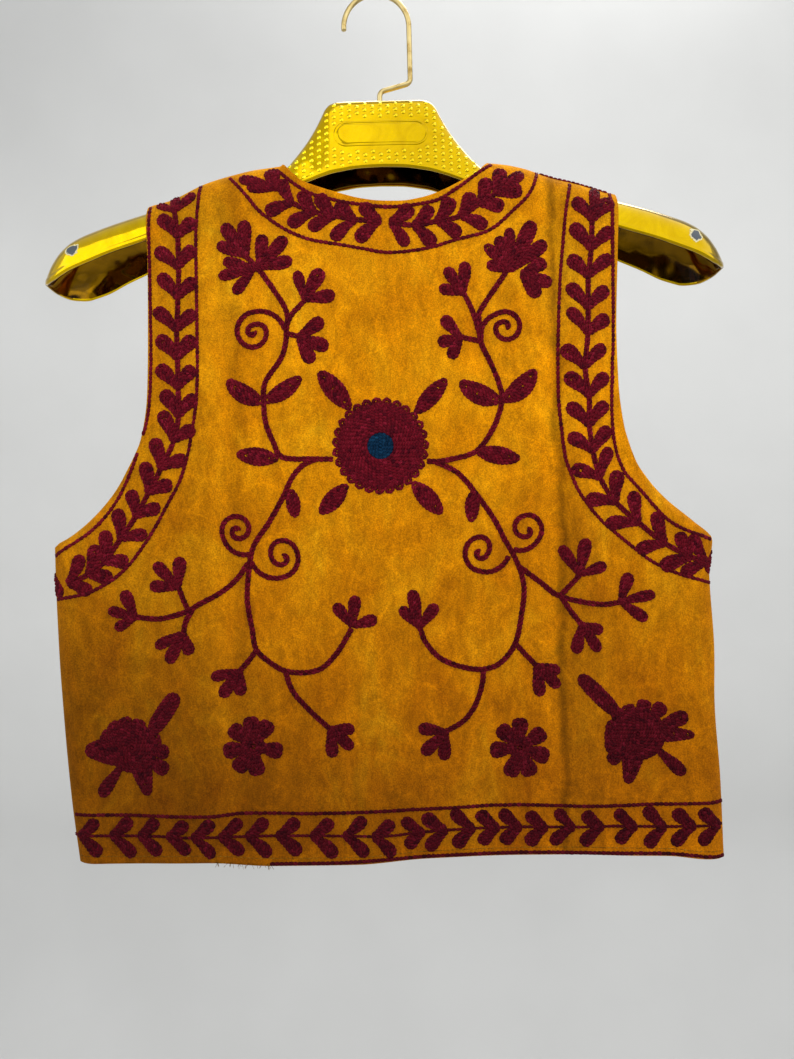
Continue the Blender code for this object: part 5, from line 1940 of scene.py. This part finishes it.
    def field(self) -> bpy.types.Object:
        """The blank oval field: a narrow raised frame, a groove and a flat pad."""
        radius = self.field_half[1]
        run = self.field_half[0] - radius
        turn = np.linspace(0.0, 2 * math.pi, 96, endpoint=False)
        way = np.stack([np.cos(turn), np.sin(turn)], axis=1)
        ends = np.where(way[:, :1] >= 0, run, -run) * [1.0, 0.0]
        # inset from the field's outline, height over the face
        profile = ((radius - 0.02, -1.2), (-0.5, -1.2), (-0.4, -0.1), (-0.1, 0.30), (0.35, 0.42),
                   (0.85, 0.36), (1.15, 0.06), (1.5, 0.02), (1.8, 0.22), (2.4, 0.34),
                   (4.0, 0.38), (radius - 0.02, 0.40))
        rings = []
        for inset, height in profile:
            flat = np.array(self.field_centre) + ends + way * (radius - inset)
            y = self.face_depth(flat[:, 0], flat[:, 1], -1) - height
            rings.append(np.stack([flat[:, 0], y, flat[:, 1]], axis=1))
        points = np.concatenate(rings)
        piece = make_mesh("hanger_oval_field", points, grid_quads(len(profile), len(turn), wrap=True))
        weld(piece, 0.06)
        facing_out(piece)
        GOLD.dress(piece)
        return piece

    def ribs(self) -> bpy.types.Object:
        """One thin web across the hollow of each arm."""
        points, faces = [], []
        for sign in (-1, 1):
            for offset in (-self.rib_half, self.rib_half):
                x = sign * np.array([self.rib_place - 1.0, self.rib_place, self.rib_place + 1.0])
                section = self.form.surface(x, self.angles(x)[::4], self.form.wall - 0.4)[:, 1]
                section[:, 0] = x[1] + offset
                foot = section.copy()
                foot[:, 2] = np.minimum(section[:, 2], np.interp(
                    section[:, 1], section[[0, -1], 1], section[[0, -1], 2]) + self.rib_deep)
                points += [section, foot]
        rows = len(points[0])
        points = np.concatenate(points)
        r = np.arange(rows - 1)
        for rib in (0, 4 * rows):
            a, b, c, d = (rib + k * rows + r for k in range(4))
            faces += [np.stack([a, a + 1, b + 1, b], axis=1), np.stack([c, d, d + 1, c + 1], axis=1),
                      np.stack([a, c, c + 1, a + 1], axis=1), np.stack([b, b + 1, d + 1, d], axis=1)]
        piece = make_mesh("hanger_ribs", points, np.concatenate(faces))
        weld(piece)
        facing_out(piece)
        # painted shade: the ribs take the darker gold of the hollow
        GOLD_PAINTED_DARK.dress(piece)
        return piece

    def build(self) -> None:
        """Make the shell, its studs, field and ribs in place of the frame's hanger."""
        shell = self.shell()
        for piece in (shell, self.studs(), self.field(), self.ribs()):
            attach(piece, "root")
            LOG.info("%s: %d faces", piece.name, len(piece.data.polygons))
        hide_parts("hanger_block", "hanger_arm_left", "hanger_arm_right")


def weld(piece: bpy.types.Object, reach: float = 0.02) -> None:
    """Merge points nearer than reach millimetres, and drop what closes up."""
    work = bmesh.new()
    work.from_mesh(piece.data)
    bmesh.ops.remove_doubles(work, verts=work.verts, dist=reach * MM)
    work.to_mesh(piece.data)
    work.free()
    piece.data.shade_smooth()


@dataclass
class Hook:
    """The bent wire: a shank with a step to one side, and an arc over the rail."""

    radius: float = 1.7
    arc_radius: float = 21.5
    arc_centre_x: float = -1.0
    shank_x: float = 20.5
    jog_low: float = -62.0
    jog_high: float = -58.6
    bend: float = 4.2
    foot: float = -71.3
    foot_straight: float = 2.4   # length of the straight foot before the first bend
    shank_low: float = -52.0
    arc_span: Place = (5.0, 184.0)   # degrees, from the shank's side over to the tip
    step: float = 0.9            # between rings
    dome_height: float = 0.8     # of the rounded tip
    sides: int = 24

    def route(self) -> Array:
        """Centre line from the block to the tip, in (x, z)."""
        slope = math.degrees(math.atan2(self.jog_high - self.jog_low, self.shank_x))
        centre_z = self.radius - self.arc_radius

        def bend(centre: Place, start: float, end: float, radius: float, count: int) -> Array:
            """Places round an arc, from one angle to another."""
            turn = np.radians(np.linspace(start, end, count))
            return np.array(centre) + radius * np.stack([np.cos(turn), np.sin(turn)], axis=1)

        low = bend((self.bend, self.jog_low - self.bend), 180.0, 90.0 + slope, self.bend, 12)
        high = bend((self.shank_x - self.bend, self.jog_high + self.bend), -90.0 + slope, 0.0,
                    self.bend, 12)
        shank = np.stack([np.full(12, self.shank_x), np.linspace(self.shank_low, centre_z, 12)],
                         axis=1)
        arc = bend((self.arc_centre_x, centre_z), *self.arc_span, self.arc_radius, 60)
        foot = [(0.0, self.foot), (0.0, self.foot + self.foot_straight)]
        return np.vstack([foot, low, high, shank, arc])

    def build(self) -> None:
        """Carry a round section along the route and dome its tip."""
        route = even(self.route(), self.step)
        side = path_normal(route)
        turn = np.linspace(0.0, 2 * math.pi, self.sides, endpoint=False)
        scale = np.ones(len(route))
        ahead = unit(route[-1] - route[-2])
        # the tip is rounded off, and a small ring closes the flat foot
        dome = np.radians(np.array([28.0, 52.0, 72.0, 89.0]))
        route = np.vstack([route, route[-1] + ahead * (self.dome_height * np.sin(dome)[:, None])])
        side = np.vstack([side, np.repeat(side[-1:], len(dome), axis=0)])
        scale = np.concatenate([[0.02], scale, np.cos(dome)])
        route = np.vstack([route[:1], route])
        side = np.vstack([side[:1], side])
        across = self.radius * scale[:, None] * np.cos(turn)
        points = np.stack([route[:, :1] + side[:, :1] * across,
                           self.radius * scale[:, None] * np.sin(turn),
                           route[:, 1:] + side[:, 1:] * across], axis=2)
        along = np.concatenate([[0.0], np.cumsum(np.linalg.norm(np.diff(route, axis=0), axis=1))])
        uv = np.stack([np.broadcast_to(turn * self.radius, scale.shape + turn.shape),
                       np.broadcast_to(along[:, None], scale.shape + turn.shape)], axis=2)
        piece = make_mesh("hook_wire", points.reshape(-1, 3),
                          grid_quads(len(route), self.sides, wrap=True), uv=uv.reshape(-1, 2))
        facing_out(piece)
        WIRE_FINISH.dress(piece)
        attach(piece, "root")
        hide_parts("hook")
        LOG.info("%s: %d faces", piece.name, len(piece.data.polygons))


# ---------------------------------------------------------------- studio

@dataclass
class Studio:
    """A pale sweep of floor and wall, soft lights and the camera.

    Colours are shown as they are given, without a film curve.
    """

    floor: float = -1.50         # metres from here on
    wall: float = 1.50
    cove: float = 0.45
    half_width: float = 4.5
    near_end: float = -4.5       # of the floor
    wall_top: float = 3.0
    eye: tuple[float, float, float] = (0.004, -0.562, -0.3523)
    roll: float = 1.5            # degrees
    lens: float = 28.9           # millimetres, on a frame 36 mm high
    frame_height: float = 36.0
    #: name, place, aim, size and watts of each lamp
    lamps: tuple = (("key", (1.1, -1.1, 1.0), (0.0, 0.0, -0.3), 3.8, 46.0),
                    ("fill", (-1.6, -1.2, 0.3), (0.0, 0.0, -0.35), 2.2, 16.0),
                    ("behind", (0.4, 1.15, 1.6), (0.0, 0.0, -0.3), 1.2, 30.0))

    def sweep(self) -> None:
        """One sheet: floor, rounded corner and wall."""
        turn = np.linspace(0.0, math.pi / 2, 24)
        corner = np.stack([self.wall - self.cove + self.cove * np.sin(turn),
                           self.floor + self.cove - self.cove * np.cos(turn)], axis=1)
        profile = np.vstack([[(self.near_end, self.floor)], corner, [(self.wall, self.wall_top)]])
        x = np.array([-self.half_width, self.half_width])
        points = np.stack([np.broadcast_to(x, (len(profile), 2)),
                           np.repeat(profile[:, :1], 2, axis=1),
                           np.repeat(profile[:, 1:], 2, axis=1)], axis=2).reshape(-1, 3) / MM
        sheet = make_mesh("studio_sweep", points, grid_quads(len(profile), 2)[:, ::-1])
        sheet.data.materials.append(PAINT.material)

    def light(self, name: str, place: Sequence[float], aim: Sequence[float], size: float,
              watts: float) -> None:
        """One square soft white light at a place, turned to its aim."""
        lamp = bpy.data.lights.new(name, "AREA")
        lamp.size, lamp.energy = size, watts
        holder = bpy.data.objects.new(name, lamp)
        holder.location = place
        way = Vector(aim) - Vector(place)
        holder.rotation_euler = way.to_track_quat("-Z", "Y").to_euler()
        bpy.context.collection.objects.link(holder)

    def camera(self) -> None:
        """The camera stands close behind the waistcoat, a little above its middle."""
        lens = bpy.data.cameras.new("camera")
        lens.sensor_fit, lens.sensor_height = "VERTICAL", self.frame_height
        lens.lens = self.lens
        holder = bpy.data.objects.new("camera", lens)
        holder.location = self.eye
        holder.rotation_euler = (math.radians(90.0), math.radians(self.roll), 0.0)
        bpy.context.collection.objects.link(holder)
        bpy.context.scene.camera = holder

    def build(self) -> None:
        """Sweep, lights, pale surroundings and camera."""
        bpy.context.scene.view_settings.view_transform = "Standard"
        self.sweep()
        for lamp in self.lamps:
            self.light(*lamp)
        world = bpy.data.worlds.new("pale_room")
        bpy.context.scene.world = world
        world.use_nodes = True
        background = world.node_tree.nodes["Background"]
        background.inputs["Color"].default_value = linear("#e4e6e8")
        background.inputs["Strength"].default_value = 0.76
        self.camera()


def main() -> None:
    """Build the hanger, the hook, the three panels and the studio."""
    logging.basicConfig(level=logging.INFO, format="%(name)s: %(message)s")
    HangerShell(HANGER).build()
    Hook().build()
    Garment(BACK, VELVET_BACK, Cut(0.457, 0.479, 0.170)).build(BackEmbroidery(BACK))
    Garment(FRONT_LEFT, VELVET_LEFT, Cut(0.222, 0.480, 0.076)).build(FrontEmbroidery(FRONT_LEFT, -1))
    Garment(FRONT_RIGHT, VELVET_RIGHT, Cut(0.222, 0.480, 0.076)).build(
        FrontEmbroidery(FRONT_RIGHT, 1))
    Studio().build()


if __name__ == "__main__":
    main()
